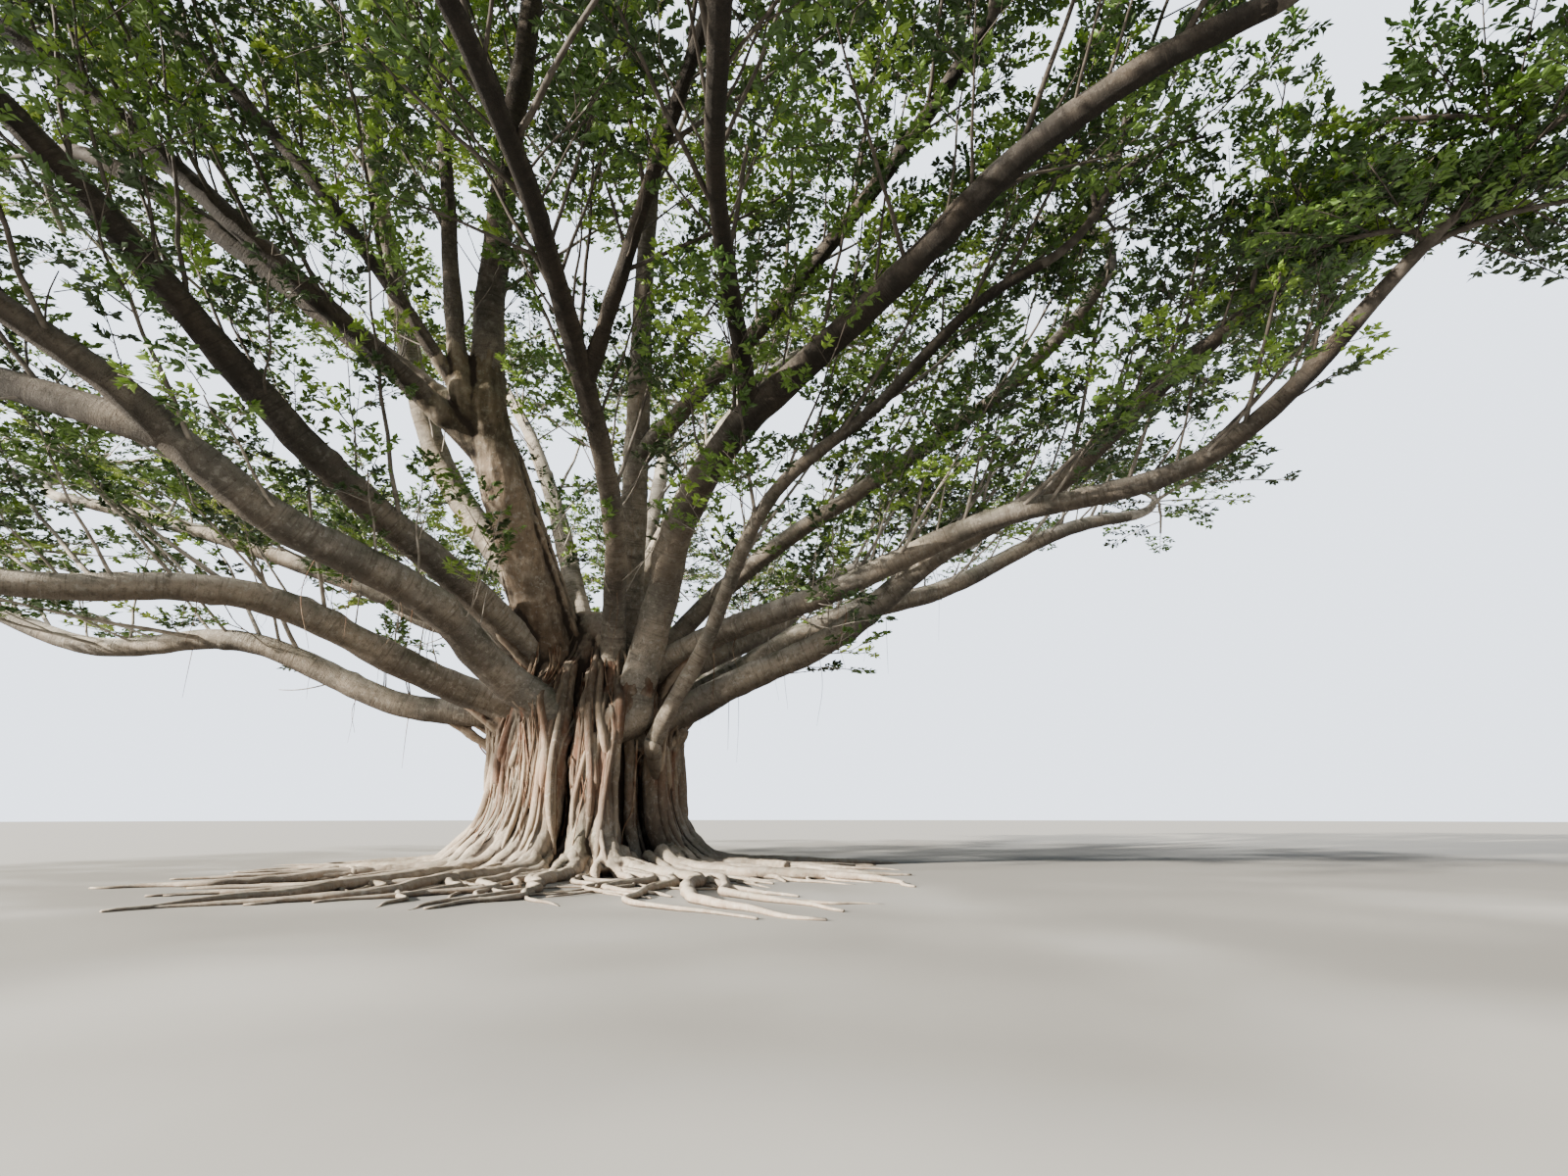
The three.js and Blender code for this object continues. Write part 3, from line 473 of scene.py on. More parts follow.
def ring_faces(count, rings, sides):
    """Quads of tubes that run outwards, and a cap at each end."""
    index = np.arange(count * rings * sides).reshape(count, rings, sides)
    across = np.roll(index, -1, axis=2)
    quads = np.stack([index[:, :-1], index[:, 1:], across[:, 1:], across[:, :-1]], axis=-1)
    return [quads.reshape(-1, 4), index[:, 0], index[:, -1, ::-1]]


STEEP = 0.85
EAST = np.array([1.0, 0, 0])


def tubes(lines, radii, sides):
    """Many round tubes at once: lines is tube by ring by xyz, and radii is tube by ring."""
    along = unit(np.gradient(lines, axis=1))
    steep = np.abs(along.mean(axis=1)[:, 2:3]) > STEEP
    aside = np.where(steep, EAST[None], Z[None])[:, None, :]
    side = unit(np.cross(along, aside))
    up = np.cross(side, along)
    turn = TURN * np.arange(sides) / sides
    around = np.cos(turn)[:, None] * side[:, :, None] + np.sin(turn)[:, None] * up[:, :, None]
    verts = lines[:, :, None] + radii[:, :, None, None] * around
    return verts, ring_faces(*radii.shape, sides)


def carried_frames(line):
    """Two directions across a line at each of its points, turning as little as they can."""
    along = unit(np.gradient(line, axis=0))
    side = np.cross(along[0], Z if abs(along[0][2]) < STEEP else EAST)
    sides = []
    for way in along:
        side = unit(side - way * (side @ way))
        sides.append(side)
    sides = np.array(sides)
    return sides, np.cross(sides, along)


def limb_tube(line, radii, sides):
    """One round tube that may bend any way, as a ring by side grid of points."""
    side, up = carried_frames(line)
    turn = (TURN * np.arange(sides) / sides)[None, :, None]
    around = np.cos(turn) * side[:, None] + np.sin(turn) * up[:, None]
    return line[:, None] + np.asarray(radii)[:, None, None] * around, around


# Trunk: fused aerial roots, root flare, leader and the collars of the boughs
def core_radius(height):
    return read(TRUNK_PROFILE, height)


def flare_at(z):
    return FLARE_REACH * max(0, 1 - z / FLARE_HEIGHT) ** 2


def strand_bearing(i):
    return HOLLOW_BEARING + (i + 0.5 + SPACING_PLAY * (draw(i, 0) - 0.5)) * 360 / STRANDS


def from_hollow(bearing):
    return turned_from(bearing, HOLLOW_BEARING)


def beside_hollow(bearing, z, side, room=HOLLOW_ROOM):
    """A bearing kept on its own side of the recess below the recess's top."""
    off = from_hollow(bearing) * math.copysign(1, side)
    if z > HOLLOW_TOP + 0.1 or off >= room or off < -90:
        return bearing
    return HOLLOW_BEARING + math.copysign(room, side)


def strand_points(i):
    """The upright points of one of the main aerial roots, from its top to its toe."""
    bearing = strand_bearing(i)
    twist = STRAND_TWIST * (draw(i, 1) - 0.5)
    points = []
    for z in (STRAND_TOP * (0.86 + 0.14 * draw(i, 2)), *STRAND_HEIGHTS):
        side = from_hollow(bearing)
        turned = beside_hollow(bearing + twist * z / STRAND_TOP, z, side, HOLLOW_ROOM + 2)
        points.append(place(turned, core_radius(z) + STRAND_PROUD + flare_at(z), z))
    return points


def root_points(i, steps=3):
    """The points of its root over the ground, half sunk in it."""
    bearing = strand_bearing(i)
    towards = math.cos(math.radians((bearing - ROOT_REACH["towards"]) / 1.2)) * 0.5 + 0.5
    span = ROOT_REACH["shortest"] + (ROOT_REACH["longest"] - ROOT_REACH["shortest"]) * towards
    reach = span * (0.78 + 0.3 * draw(i, 3))
    toe = core_radius(0) + FLARE_TOE
    points = []
    for k in range(steps + 1):
        along = k / steps
        wave = math.sin(TURN * (ROOT_TURNS * along + draw(i, 5))) * math.sqrt(along)
        turned = bearing + ROOT_BEND * (draw(i, 4) - 0.5) * along + ROOT_MEANDER * wave
        points.append(place(turned, toe + (reach - toe) * along, 0.1 * (1 - along) - 0.01))
    return points


def strand_girth(i):
    return 0.8 + 0.4 * draw(i, 6)


def main_strand(i):
    """A main aerial root and its surface root as one line with its girths."""
    upright = strand_points(i)
    sunk = upright[0] * np.array([0.66, 0.66, 1]) + Z * 0.35
    points = np.array([sunk, *upright, *root_points(i)])
    line = smooth_line(points, 12)
    toe = (len(upright) + 1) / (len(points) - 1)
    g = STRAND_GIRTHS
    table = [(0, g["top"] * 0.5), (toe * 0.2, g["top"]), (toe * 0.5, g["waist"]),
             (toe * 0.75, g["waist"] * 1.1), (toe, g["toe"] * 0.58), (toe * 1.25, g["toe"] * 0.36),
             (1, g["tip"])]
    return line, read(table, np.linspace(0, 1, len(line))) * strand_girth(i)


def trunk_core():
    """The core, drawn in at the recess at the front's right."""
    heights = np.linspace(CORE["foot"], CORE["top"], CORE["rings"])
    bearings = np.radians(np.arange(0, 360, CORE["step"]))
    off = from_hollow(np.degrees(bearings))
    below = np.clip((HOLLOW_TOP + 0.3 - heights) / HOLLOW_FADE, 0, 1)[:, None]
    deep = np.exp(-(off / HOLLOW_WIDTH) ** 2)[None] * below
    radius = core_radius(np.maximum(heights, 0))[:, None] * CORE["share"] - HOLLOW_DEPTH * deep
    verts = np.stack([radius * np.cos(bearings), radius * np.sin(bearings),
                      np.repeat(heights[:, None], len(bearings), axis=1)], axis=-1)
    return verts, ring_faces(1, len(heights), len(bearings))


def below_outer_feet(bearing, top):
    """A strand's top, kept below the feet of the outer limbs that it would cross."""
    for limb in limbs.values():
        if limb.is_outer() and abs(turned_from(bearing, bearing_of(limb.foot))) < 13:
            top = min(top, limb.foot[2] - 0.35)
    return top


def thin_strands():
    """Thinner aerial roots between and over the main ones, each with a toe of its own."""
    dice = np.random.default_rng(TRUNK_SEED)
    for i in range(THIN_STRANDS):
        bearing = i * 360 / THIN_STRANDS + dice.uniform(-3, 3)
        top, drift = dice.uniform(3.4, 5.9), dice.uniform(-9, 9)
        top = below_outer_feet(bearing + drift, top)
        if i % 7 == 3:  # a gap, so that they don't stand evenly
            continue
        wander, phase = dice.uniform(1.5, 4.5), dice.uniform(0, TURN)
        girth, toe, proud = dice.uniform(0.065, 0.165), dice.uniform(0.5, 1.3), dice.uniform(-0.06, 0.24)
        points = [place(bearing + drift, core_radius(top + 0.3) - 0.5, top + 0.3)]
        for z in np.linspace(top, 0.35, 9):
            at = bearing + drift * z / top + wander * math.sin(1.5 * z + phase)
            at = beside_hollow(at, z, from_hollow(bearing))
            points.append(place(at, core_radius(z) + proud + flare_at(z), z))
        for out, z in ((toe / 2, 0.12), (toe, -0.05)):
            turned = beside_hollow(bearing - 2, 0, from_hollow(bearing))
            points.append(place(turned, core_radius(0) + FLARE_REACH + 0.15 + out, z))
        yield tapered(points, 6, girth, [(0, 0.6), (0.25, 1), (0.75, 1.15), (1, 0.6)])


def climbing_strands():
    """Aerial roots that run up from the trunk to the underside of each bough's foot."""
    dice = np.random.default_rng(TRUNK_SEED + 1)
    for limb in limbs_on("trunk"):
        foot = limb.foot
        for out in (dice.uniform(0.7, 1.1), dice.uniform(1.4, 2.1)):
            t_out = out / limb.length
            below = limb.line.at(t_out)
            drop = limb.radius(t_out) * 0.72
            side = level_side(limb.line.heading_at(t_out)) * dice.uniform(-0.4, 0.4) * drop
            bearing = bearing_of(foot) + dice.uniform(-9, 9)
            low = max(foot[2] - dice.uniform(1.2, 2.2), 0.6)
            points = [below - Z * drop + side, (below + foot) / 2 - Z * (drop * 1.25) + side]
            heights = np.linspace(min(foot[2] - 0.75, low + 1.0), low - 0.5, 4)
            for z, proud in zip(heights, (0.14, 0.14, 0.1, -0.1)):
                z = max(z, 0.2)
                turned = beside_hollow(bearing, z, from_hollow(bearing))
                points.append(place(turned, core_radius(z) + proud, z))
            yield tapered(points, 6, dice.uniform(0.07, 0.13), [(0, 0.45), (0.3, 1), (0.8, 1), (1, 0.5)])


def recess_strands():
    """Aerial roots that stand back in the recess, in its shade."""
    dice = np.random.default_rng(TRUNK_SEED + 4)
    for k in range(7):
        bearing = HOLLOW_BEARING + (k - 3) * 5 + dice.uniform(-2, 2)
        back = dice.uniform(0.25, 0.6)
        lean = dice.uniform(-3, 3)
        points = [place(bearing + lean * math.sin(1.3 * z + k), core_radius(z) - back, z)
                  for z in np.linspace(HOLLOW_TOP + 0.5, 0.0, 8)]
        line = smooth_line(np.array(points), 5)
        yield line, np.linspace(0.6, 1.2, len(line)) * dice.uniform(0.07, 0.15)


def leader_stems():
    """The leader as two fused stems, with roots running up them."""
    t = np.linspace(-SINK, 1.0, 36)
    line = leader.line.at(t)
    radius = leader.radius(t) * np.interp(t, [0, 0.8, 0.93, 1], [1, 1, 0.8, 0.4])
    side, up = carried_frames(line)
    for sign in (-1, 1):
        yield line + side * (sign * STEMS_APART * radius)[:, None], radius * STEM_GIRTH
    dice = np.random.default_rng(TRUNK_SEED + 2)
    for k in range(LEADER_STRANDS):
        turn = TURN * k / LEADER_STRANDS + dice.uniform(-0.2, 0.2)
        end = dice.uniform(0.45, 0.9)
        inner = np.linspace(0, end, 16)
        rows = [np.stack([np.interp(inner, t, f[:, axis]) for axis in range(3)], -1) for f in (side, up)]
        around = (turn + 0.4 * np.sin(3 * inner + k))[:, None]
        across = rows[0] * np.cos(around) * 1.02 + rows[1] * np.sin(around) * 0.8
        yield (leader.line.at(inner) + across * leader.radius(inner)[:, None],
               dice.uniform(0.07, 0.15) * read([(0, 1), (end, 0.4)], inner))


def collar_stems():
    """The feet of the trunk's boughs, inside the boughs' own bark."""
    for limb in limbs_on("trunk"):
        t = np.linspace(0, limb.collar, 9)
        yield limb.line.at(t), limb.radius(t) * np.interp(t, [0, limb.collar], [0.97, 0.8])


def leader_forks():
    """The leader's head, parting into the boughs that rise from it."""
    for limb in limbs_on("leader"):
        end = limb.collar + 0.5 / limb.length
        inside = [leader.line.at(0.66), leader.line.at(0.8)]
        line = smooth_line(np.array([*inside, *limb.line.at(np.linspace(0, end, 5))]), 5)
        foot = limb.foot_radius
        deep = max(foot * 1.15, leader.radius(0.8) * 0.62)
        table = [(0, deep), (1, deep), (2, foot * 1.3), (4, foot * 1.04), (6, foot * 0.82)]
        yield line, read(table, np.linspace(0, 6, len(line)))


def skirts():
    """Fused roots that carry the foot of each outer bough down the trunk."""
    dice = np.random.default_rng(TRUNK_SEED + 3)
    for limb in (limb for limb in limbs.values() if limb.is_outer()):
        bearing = bearing_of(limb.foot)
        for spread, share in ((dice.uniform(-13, -6), 0.7), (0, 1), (dice.uniform(6, 13), 0.75)):
            side = from_hollow(bearing if abs(from_hollow(bearing)) > 4 else bearing + spread)
            points = [limb.line.at(0.7 / limb.length), limb.line.at(0.15 / limb.length)]
            for k, z in enumerate(np.arange(limb.foot[2] - 0.75, 0.5, -0.8)):
                turned = bearing + spread * min(1, 0.45 + 0.3 * k) + dice.uniform(-1.5, 1.5)
                turned = beside_hollow(turned, z, side)
                points.append(place(turned, core_radius(z) + 0.1 + flare_at(z), z))
            turned = beside_hollow(bearing + spread, 0, side)
            points.append(place(turned, core_radius(0) + FLARE_REACH + 0.35, 0.05))
            line = smooth_line(np.array(points), 8)
            last = len(points) - 1
            wide = limb.foot_radius * share
            table = [(0, wide * 0.8), (1, wide * 0.95), (2, wide * 0.85), (3.2, wide * 0.5), (last, 0.2)]
            yield line, np.maximum(read(table, np.linspace(0, last, len(line))), 0.12)


def fused(sheaf, name, voxel):
    """A single skin over everything in a sheaf."""
    raw = bpy.data.objects.new(name + "_raw", sheaf.mesh(name + "_raw", mark=None))
    bpy.context.scene.collection.objects.link(raw)
    remesh = raw.modifiers.new("fuse", "REMESH")
    remesh.mode = "VOXEL"
    remesh.voxel_size = voxel
    soften = raw.modifiers.new("soften", "SMOOTH")
    soften.factor = 0.5
    soften.iterations = 1
    done = bpy.data.meshes.new_from_object(raw.evaluated_get(bpy.context.evaluated_depsgraph_get()))
    bpy.data.objects.remove(raw)
    return done


def creases(mesh, points, rounds):
    """How deep each vertex lies in a crease: its offset below its neighbours' mean surface."""
    edges = read_rows(mesh.edges, "vertices", 2, np.int32)
    a, b = edges.T
    degree = np.bincount(edges.ravel(), minlength=len(points))[:, None]
    mean = points.copy()
    for _ in range(rounds):
        total = np.zeros_like(mean)
        for axis in range(3):
            total[:, axis] = (np.bincount(a, mean[b, axis], len(points))
                              + np.bincount(b, mean[a, axis], len(points)))
        mean = total / degree
    return ((mean - points) * read_rows(mesh.vertices, "normal", 3)).sum(axis=1)


def trunk_mesh():
    sheaf = Sheaf()
    sheaf.add(*trunk_core())
    for maker in (thin_strands, climbing_strands, recess_strands, leader_stems, leader_forks,
                  collar_stems, skirts):
        for line, radii in maker():
            sheaf.add_limb(line, radii, 12)
    for i in range(STRANDS):
        line, radii = main_strand(i)
        keep = np.hypot(line[:, 0], line[:, 1]) < TRUNK_SKIN_REACH
        last = int(np.argmin(keep)) if not keep.all() else len(line)
        sheaf.add_limb(line[:last], radii[:last], 14)
    mesh = fused(sheaf, "trunk_skin", TRUNK_VOXEL)
    points = read_rows(mesh.vertices, "co", 3).astype(float)
    streaky = points * np.array([1, 1, 0.22])
    relief = (0.020 * waves(streaky, 0.55, 21) + 0.011 * waves(streaky, 0.23, 22)
              + 0.006 * waves(points, 0.12, 23))
    points = points + read_rows(mesh.vertices, "normal", 3) * relief[:, None]
    points[:, 2] = np.maximum(points[:, 2], 0)
    mesh.vertices.foreach_set("co", points.astype(np.float32).ravel())
    mesh.update()
    # The crease mark: how deep each point lies in a crease, in a broad hollow and in the recess. The
    # bark paints shade by it, darkest in the deepest places, and a painted highlight on the ridges.
    deep = creases(mesh, points, FINE_ROUNDS) / TRUNK_VOXEL
    hollow = creases(mesh, points, BROAD_ROUNDS) / BROAD_HOLLOW
    inset = core_radius(points[:, 2]) - np.hypot(points[:, 0], points[:, 1])
    under = np.clip((HOLLOW_TOP + HOLLOW_FADE - points[:, 2]) / HOLLOW_FADE, 0, 1)
    recess = np.clip(inset * 2.2 - 0.1, 0, 1) * under
    deep += np.clip(hollow, 0, 1) * BROAD_SHADE + recess * RECESS_SHADE
    write_mark(mesh, "crease", deep)
    mesh.polygons.foreach_set("use_smooth", np.full(len(mesh.polygons), True))
    return mesh


# Surface roots: the main ones run on from the trunk, fork, and cross each other
def root_line(points, seed):
    line = smooth_line(points, 14)
    span = np.linspace(0, 1, len(line))
    wriggle = (waves(line * np.array([1, 1, 0]), 1.7, seed) * 0.2
               + waves(line, 0.7, seed + 1) * 0.06)
    return line + level_side(np.gradient(line, axis=0)) * (wriggle * np.clip(span * 5, 0, 1))[:, None]


def surface_roots():
    """From each toe a main root and its companions, all forking as they run out."""
    sheaf = Sheaf()
    dice = np.random.default_rng(ROOT_SEED)
    for i in range(STRANDS):
        main = np.array(root_points(i))
        girth = STRAND_GIRTHS["toe"] * strand_girth(i)
        kinds = [(0, 1, 0.56)]
        for k in range(5):
            kinds.append((dice.uniform(3, 12) * (1 if k % 2 else -1), dice.uniform(0.5, 0.95),
                          dice.uniform(0.22, 0.42)))
        for k, (turn, share, thick) in enumerate(kinds):
            reach = np.linalg.norm(main[:, :2], axis=1)
            reach = reach[0] + (reach - reach[0]) * share
            at = np.degrees(np.arctan2(main[:, 1], main[:, 0])) + turn * np.array([0.7, 1.2, 1.5, 1.0])
            lie = [place(a, r, 0.03) for a, r in zip(at, reach)]
            points = np.array([place(at[0], reach[0] * 0.8, 0.35 - 0.03 * k), *lie])
            base = root_line(points, ROOT_SEED + 6 * i + k)
            t = np.linspace(0, 1, len(base))
            radii = girth * thick * read([(0, 0.9), (0.25, 1), (0.5, 0.62), (1, 0.14)], t)
            add_root(sheaf, base, radii, ROOT_SEED + i)
            for sign in (-1, 1):
                grow_fork(sheaf, dice, base, radii, dice.uniform(0.25, 0.8), sign)
    return sheaf


def grow_fork(sheaf, dice, base, radii, share, sign):
    """A side root that leaves another one and thins away."""
    at = int(len(base) * share)
    ahead = unit(base[min(at + 2, len(base) - 1)] - base[at])
    turn = math.radians(dice.uniform(12, 42)) * sign
    way = np.array([ahead[0] * math.cos(turn) - ahead[1] * math.sin(turn),
                    ahead[0] * math.sin(turn) + ahead[1] * math.cos(turn), 0])
    length = dice.uniform(1.2, 3.4) * (1.2 - 0.6 * share)
    bow = np.cross(way, Z) * dice.uniform(-0.35, 0.35) * length
    start = base[at] * np.array([1, 1, 0.5])
    control = (start, start + way * length / 2 + bow, start + way * length - Z * 0.02)
    line = root_line(bend(control, np.linspace(0, 1, 4)), int(dice.integers(1000)))
    radii = np.linspace(radii[at] * dice.uniform(0.5, 0.85), 0.02, len(line))
    add_root(sheaf, line[::2], radii[::2], ROOT_SEED)


def add_root(sheaf, line, radii, seed, sides=8):
    dive = np.clip(np.linspace(-3, 1, len(line)), 0, 1) ** 2
    line = line + Z * (radii * (0.35 - 1.25 * dive))[:, None]
    verts, around = limb_tube(line, radii, sides)
    verts = verts + around * (waves(verts, 0.5, seed) * 0.14 * np.asarray(radii)[:, None])[..., None]
    verts[..., 2] = np.maximum(verts[..., 2], 0)
    sheaf.add(verts, ring_faces(1, len(line), sides))


# Thin aerial roots: some run down over the trunk, and some hang from the boughs
def skin_of(mesh):
    corners = read_rows(mesh.loops, "vertex_index", 1, np.int32).ravel()
    starts = [face.loop_start for face in mesh.polygons]
    faces = [part.tolist() for part in np.split(corners, starts[1:])]
    return BVHTree.FromPolygons(read_rows(mesh.vertices, "co", 3).astype(float).tolist(), faces)


def draped(skin, bearings, heights, lift):
    """A line down the trunk that lies on its skin at the given bearings and heights."""
    stand_off = 0.55
    outs = []
    for bearing, z in zip(bearings, heights):
        plain = core_radius(z) + 0.22 + flare_at(z)
        start = place(bearing, plain + stand_off, z)
        hit, _, _, gap = skin.ray_cast(Vector(start), Vector(place(bearing + 180, 1, 0)), 2 * stand_off)
        outs.append(plain + stand_off - gap if hit else plain)
    outs = np.convolve(np.pad(outs, 2, mode="edge"), np.array([1, 2, 3, 2, 1]) / 9, mode="valid")
    return np.array([place(b, r, z) for b, r, z in zip(bearings, outs + lift, heights)])


def laid_strands(skin, rings=26, sides=7):
    """Slender aerial roots that lie on the trunk, crossing and joining as they come down."""
    sheaf = Sheaf()
    dice = np.random.default_rng(THREAD_SEED)
    for k in range(LAID_STRANDS):
        bearing = dice.uniform(-165, 5) if k < LAID_IN_FRONT else dice.uniform(-180, 180)
        top, low = dice.uniform(2.8, 5.6), dice.uniform(0.05, 0.9)
        if k % 5 > 1:
            low = dice.uniform(1.2, 2.6)
        heights = np.linspace(top, low, rings)
        drift, phase = dice.uniform(-12, 12), dice.uniform(0, 6)
        bearings = bearing + drift * heights / 6 + 2.6 * np.sin(heights * dice.uniform(0.7, 2.0) + phase)
        side = from_hollow(bearings[len(bearings) // 2])
        bearings = [beside_hollow(at, z, side, HOLLOW_ROOM - 3) for at, z in zip(bearings, heights)]
        girth = 0.02 + 0.09 * dice.uniform(0, 1) ** 1.7
        share = np.linspace(0, 1, rings)
        lift = girth * read([(0, -1.6), (0.12, 0.1), (0.5, 0.25), (0.85, 0.1), (1, -1.0)], share)
        line = draped(skin, bearings, heights, lift)
        radii = girth * read([(0, 0.3), (0.2, 0.9), (0.8, 1.1), (1, 0.5)], share)
        verts, _ = limb_tube(line, radii, sides)
        verts[..., 2] = np.maximum(verts[..., 2], 0)
        sheaf.add(verts, ring_faces(1, rings, sides), np.full(rings * sides, dice.uniform(-1, 1)))
    return sheaf


def aerial_threads(skin):
    """Young roots: rusty bundles on the trunk, and a few that hang free under the boughs."""
    sheaf = Sheaf()
    dice = np.random.default_rng(THREAD_SEED + 1)
    for k in range(THREADS):
        bearing = dice.normal(-112, 16) if k < THREADS_IN_FRONT else dice.uniform(-180, 180)
        heights = np.linspace(dice.uniform(2.6, 5.2), dice.uniform(0.5, 2.4), 18)
        phase = dice.uniform(0, 6)
        bearings = (bearing + 2.5 * np.sin(heights * dice.uniform(0.8, 2.2) + phase)
                    + dice.uniform(-1, 1) * heights)
        girth = dice.uniform(0.009, 0.026)
        line = draped(skin, bearings, heights, girth + dice.uniform(0, 0.05))
        sheaf.add_limb(line, np.linspace(girth, girth * 0.6, 18), 5)
    for limb in (limbs[name] for name in FREE_ROOT_BOUGHS):
        for _ in range(FREE_ROOTS_A_BOUGH):
            t = dice.uniform(1.4, 8.0) / limb.length
            start = limb.line.at(t) - Z * (limb.radius(t) * 0.7)
            drop = min(dice.uniform(0.4, 1.9), start[2] - 1.2)
            s = np.linspace(0, 1, 12)[:, None]
            swing = np.array([dice.uniform(-0.12, 0.12), dice.uniform(-0.12, 0.12), 0])
            girth = dice.uniform(0.005, 0.012)
            line = start - Z * (drop * s) + swing * np.sin(s * 4)
            sheaf.add_limb(line, np.linspace(girth, girth * 0.35, 12), 5)
    return sheaf


# Boughs: each one long tapering limb with lumps, knots and swellings
def heel_line(limb, radius):
    """How an outer limb's foot turns down and sinks among the trunk's roots, from below upwards."""
    foot, bearing = limb.foot, bearing_of(limb.foot)
    knee = foot - limb.line.heading_at(0.0) * radius * 0.6 - Z * radius * 0.45
    points = []
    for drop, out in ((2.2, -0.25), (1.55, 0.0), (0.95, 0.12)):
        z = foot[2] - drop
        points.append(place(beside_hollow(bearing, z, from_hollow(bearing)), core_radius(z) + out, z))
    line = smooth_line(np.array([*points, knee, foot, limb.line.at(0.6 / limb.length)]), HEEL_RINGS)
    line = line[:4 * HEEL_RINGS]
    share = np.linspace(0, 1, len(line), endpoint=False)
    return line, radius * read([(0, 0.25), (0.25, 0.4), (0.5, 0.62), (0.75, 0.95), (1, 1.0)], share)


def bark_surface(limb, start, seed):
    sheaf = Sheaf()
    length = limb.length
    rings = max(8, int((1.0 - start) * length / BOUGH_RING_SPACING))
    t = np.linspace(start, 1.0, rings)
    line = limb.line.at(t)
    radii = limb.radius(t)
    if limb.on_bough:
        plain = 1 + FLARE_SHARE * np.exp(-t * length / FLARE_LENGTH)
        zone = [0, SWELL_LENGTH]
        radii = np.maximum(radii, limb.foot_radius * np.interp(t * length, zone, [limb.swell, 0])
                           + radii / plain * np.interp(t * length, zone, [0, 1]))
    elif limb.carrier == "leader":
        radii = radii * np.interp(t, [start, limb.collar, 1], [0.86, 1.0, 1.0])
    if limb.name in FORKED_AT_THE_TIP:
        radii = radii * np.interp(t, [0, 1 - 0.6 / length, 1], [1, 1, 0.9])
    wander = waves(line, 2.4, seed + 1)[:, None] * level_side(np.gradient(line, axis=0))
    line = line + wander * (0.12 * radii * np.clip((1 - t) * 8, 0, 1) * np.clip(t * 8, 0, 1))[:, None]
    narrow = np.sqrt(1 - ROUND_END**2)
    if limb.is_outer():
        heel, heel_radii = heel_line(limb, radii[0])
    else:
        heel = line[0] - np.outer(ROUND_END[::-1] * radii[0], limb.line.heading_at(start))
        heel_radii = radii[0] * narrow[::-1]
    tip = line[-1] + np.outer(ROUND_END * radii[-1], limb.line.heading_at(1.0))
    line = np.vstack([heel, line, tip])
    along = np.hstack([0, np.cumsum(np.linalg.norm(np.diff(line, axis=0), axis=1))])
    along += start * length - along[len(heel)]
    radii = np.hstack([heel_radii, radii, radii[-1] * narrow])
    verts, around = limb_tube(line, radii, BOUGH_SIDES)
    lumps = 0.06 * waves(verts, 1.3, seed + 2) + 0.035 * waves(verts, 0.42, seed + 3) - 0.02
    dice = np.random.default_rng(seed)
    turn = TURN * np.arange(BOUGH_SIDES) / BOUGH_SIDES
    for _ in range(int(length * KNOTS_A_METRE)):
        at, way = dice.uniform(0, length), dice.uniform(0, TURN)
        off = (turn - way + math.pi) % TURN - math.pi
        size = dice.uniform(0.08, 0.2)
        lumps += dice.uniform(0.06, 0.2) * np.exp(-((along[:, None] - at) / size) ** 2
                                                   - (off[None] * radii[:, None] / size) ** 2)
    verts = verts + around * (lumps * radii[:, None])[..., None]
    sheaf.add(verts, ring_faces(1, len(line), BOUGH_SIDES),
              np.repeat(along[:, None], BOUGH_SIDES, axis=1))
    return sheaf


# Crown: stems, primaries, sprays, twiglets and leaves
def stem_of(name):
    limb = limbs.get(name) or limbs[name.replace("foliage", "bough")]
    tip, along = limb.line.at(1.0), limb.line.heading_at(1.0)
    centre = place(*MASSES[name]["centre"])
    end = centre + (centre - tip) * STEM["past_centre"]
    end[2] = min(end[2], CROWN_TOP - STEM["below_top"])
    return (tip, tip + along * np.linalg.norm(end - tip) * STEM["bend"], end), limb.tip_radius


def primaries_of(m, stem):
    """A mass's primaries, by the part's rule, as three controls each."""
    centre = CENTRES[m]
    half_width, half_depth = MASSES[MASS_NAMES[m]]["spread"]
    for i in range(PRIMARIES):
        share = (i + 0.5) / PRIMARIES
        lift = PRIMARY_LIFT[0] + PRIMARY_LIFT[1] * share
        bearing = (i * GOLDEN_ANGLE + 360 * draw(m, 99) + PRIMARY_BEND["play"] * (draw(m, i) - 0.5))
        out = place(bearing, math.sqrt(1 - lift * lift) * half_width, lift * half_depth)
        beyond = centre + unit(out) * SPRAY["length"] / 2
        reach = next((r for r in REACHES if in_space(m, beyond + out * r)), REACHES[-1])
        target = centre + out * reach
        t = PRIMARY_FEET[0] + PRIMARY_FEET[1] * share
        start = bend(stem, t)
        pull = np.linalg.norm(target - start) * PRIMARY_BEND["pull"]
        primary = (start, start + bend_heading(stem, t) * pull + Z * PRIMARY_BEND["rise"], target)
        if fits(bend(primary, np.linspace(0.3, 1, 8)), m):
            yield i, primary


def sprays_of(m, i, primary):
    """The sprays of a primary: to its left and right in turn, and one on from its tip."""
    for j in range(SPRAYS):
        t = min(1, FIRST_SPRAY + (1 - FIRST_SPRAY) * (j + 1) / SPRAYS)
        along = bend_heading(primary, t)
        side = level_side(along)
        up = unit(np.cross(side, along))
        turn = 0 if j == SPRAYS - 1 else math.radians(SPRAY["splay"] * (1 if j % 2 else -1))
        roll = math.radians(SPRAY["roll"] * (2 * draw(m, i, j) - 1))
        way = (along * math.cos(turn) + side * math.sin(turn) * math.cos(roll)
               + up * (abs(math.sin(turn)) * math.sin(roll) + SPRAY["lift"]))
        yield bend(primary, t), unit(way), SPRAY["length"] * (0.82 + 0.36 * draw(m, i, j, 7))


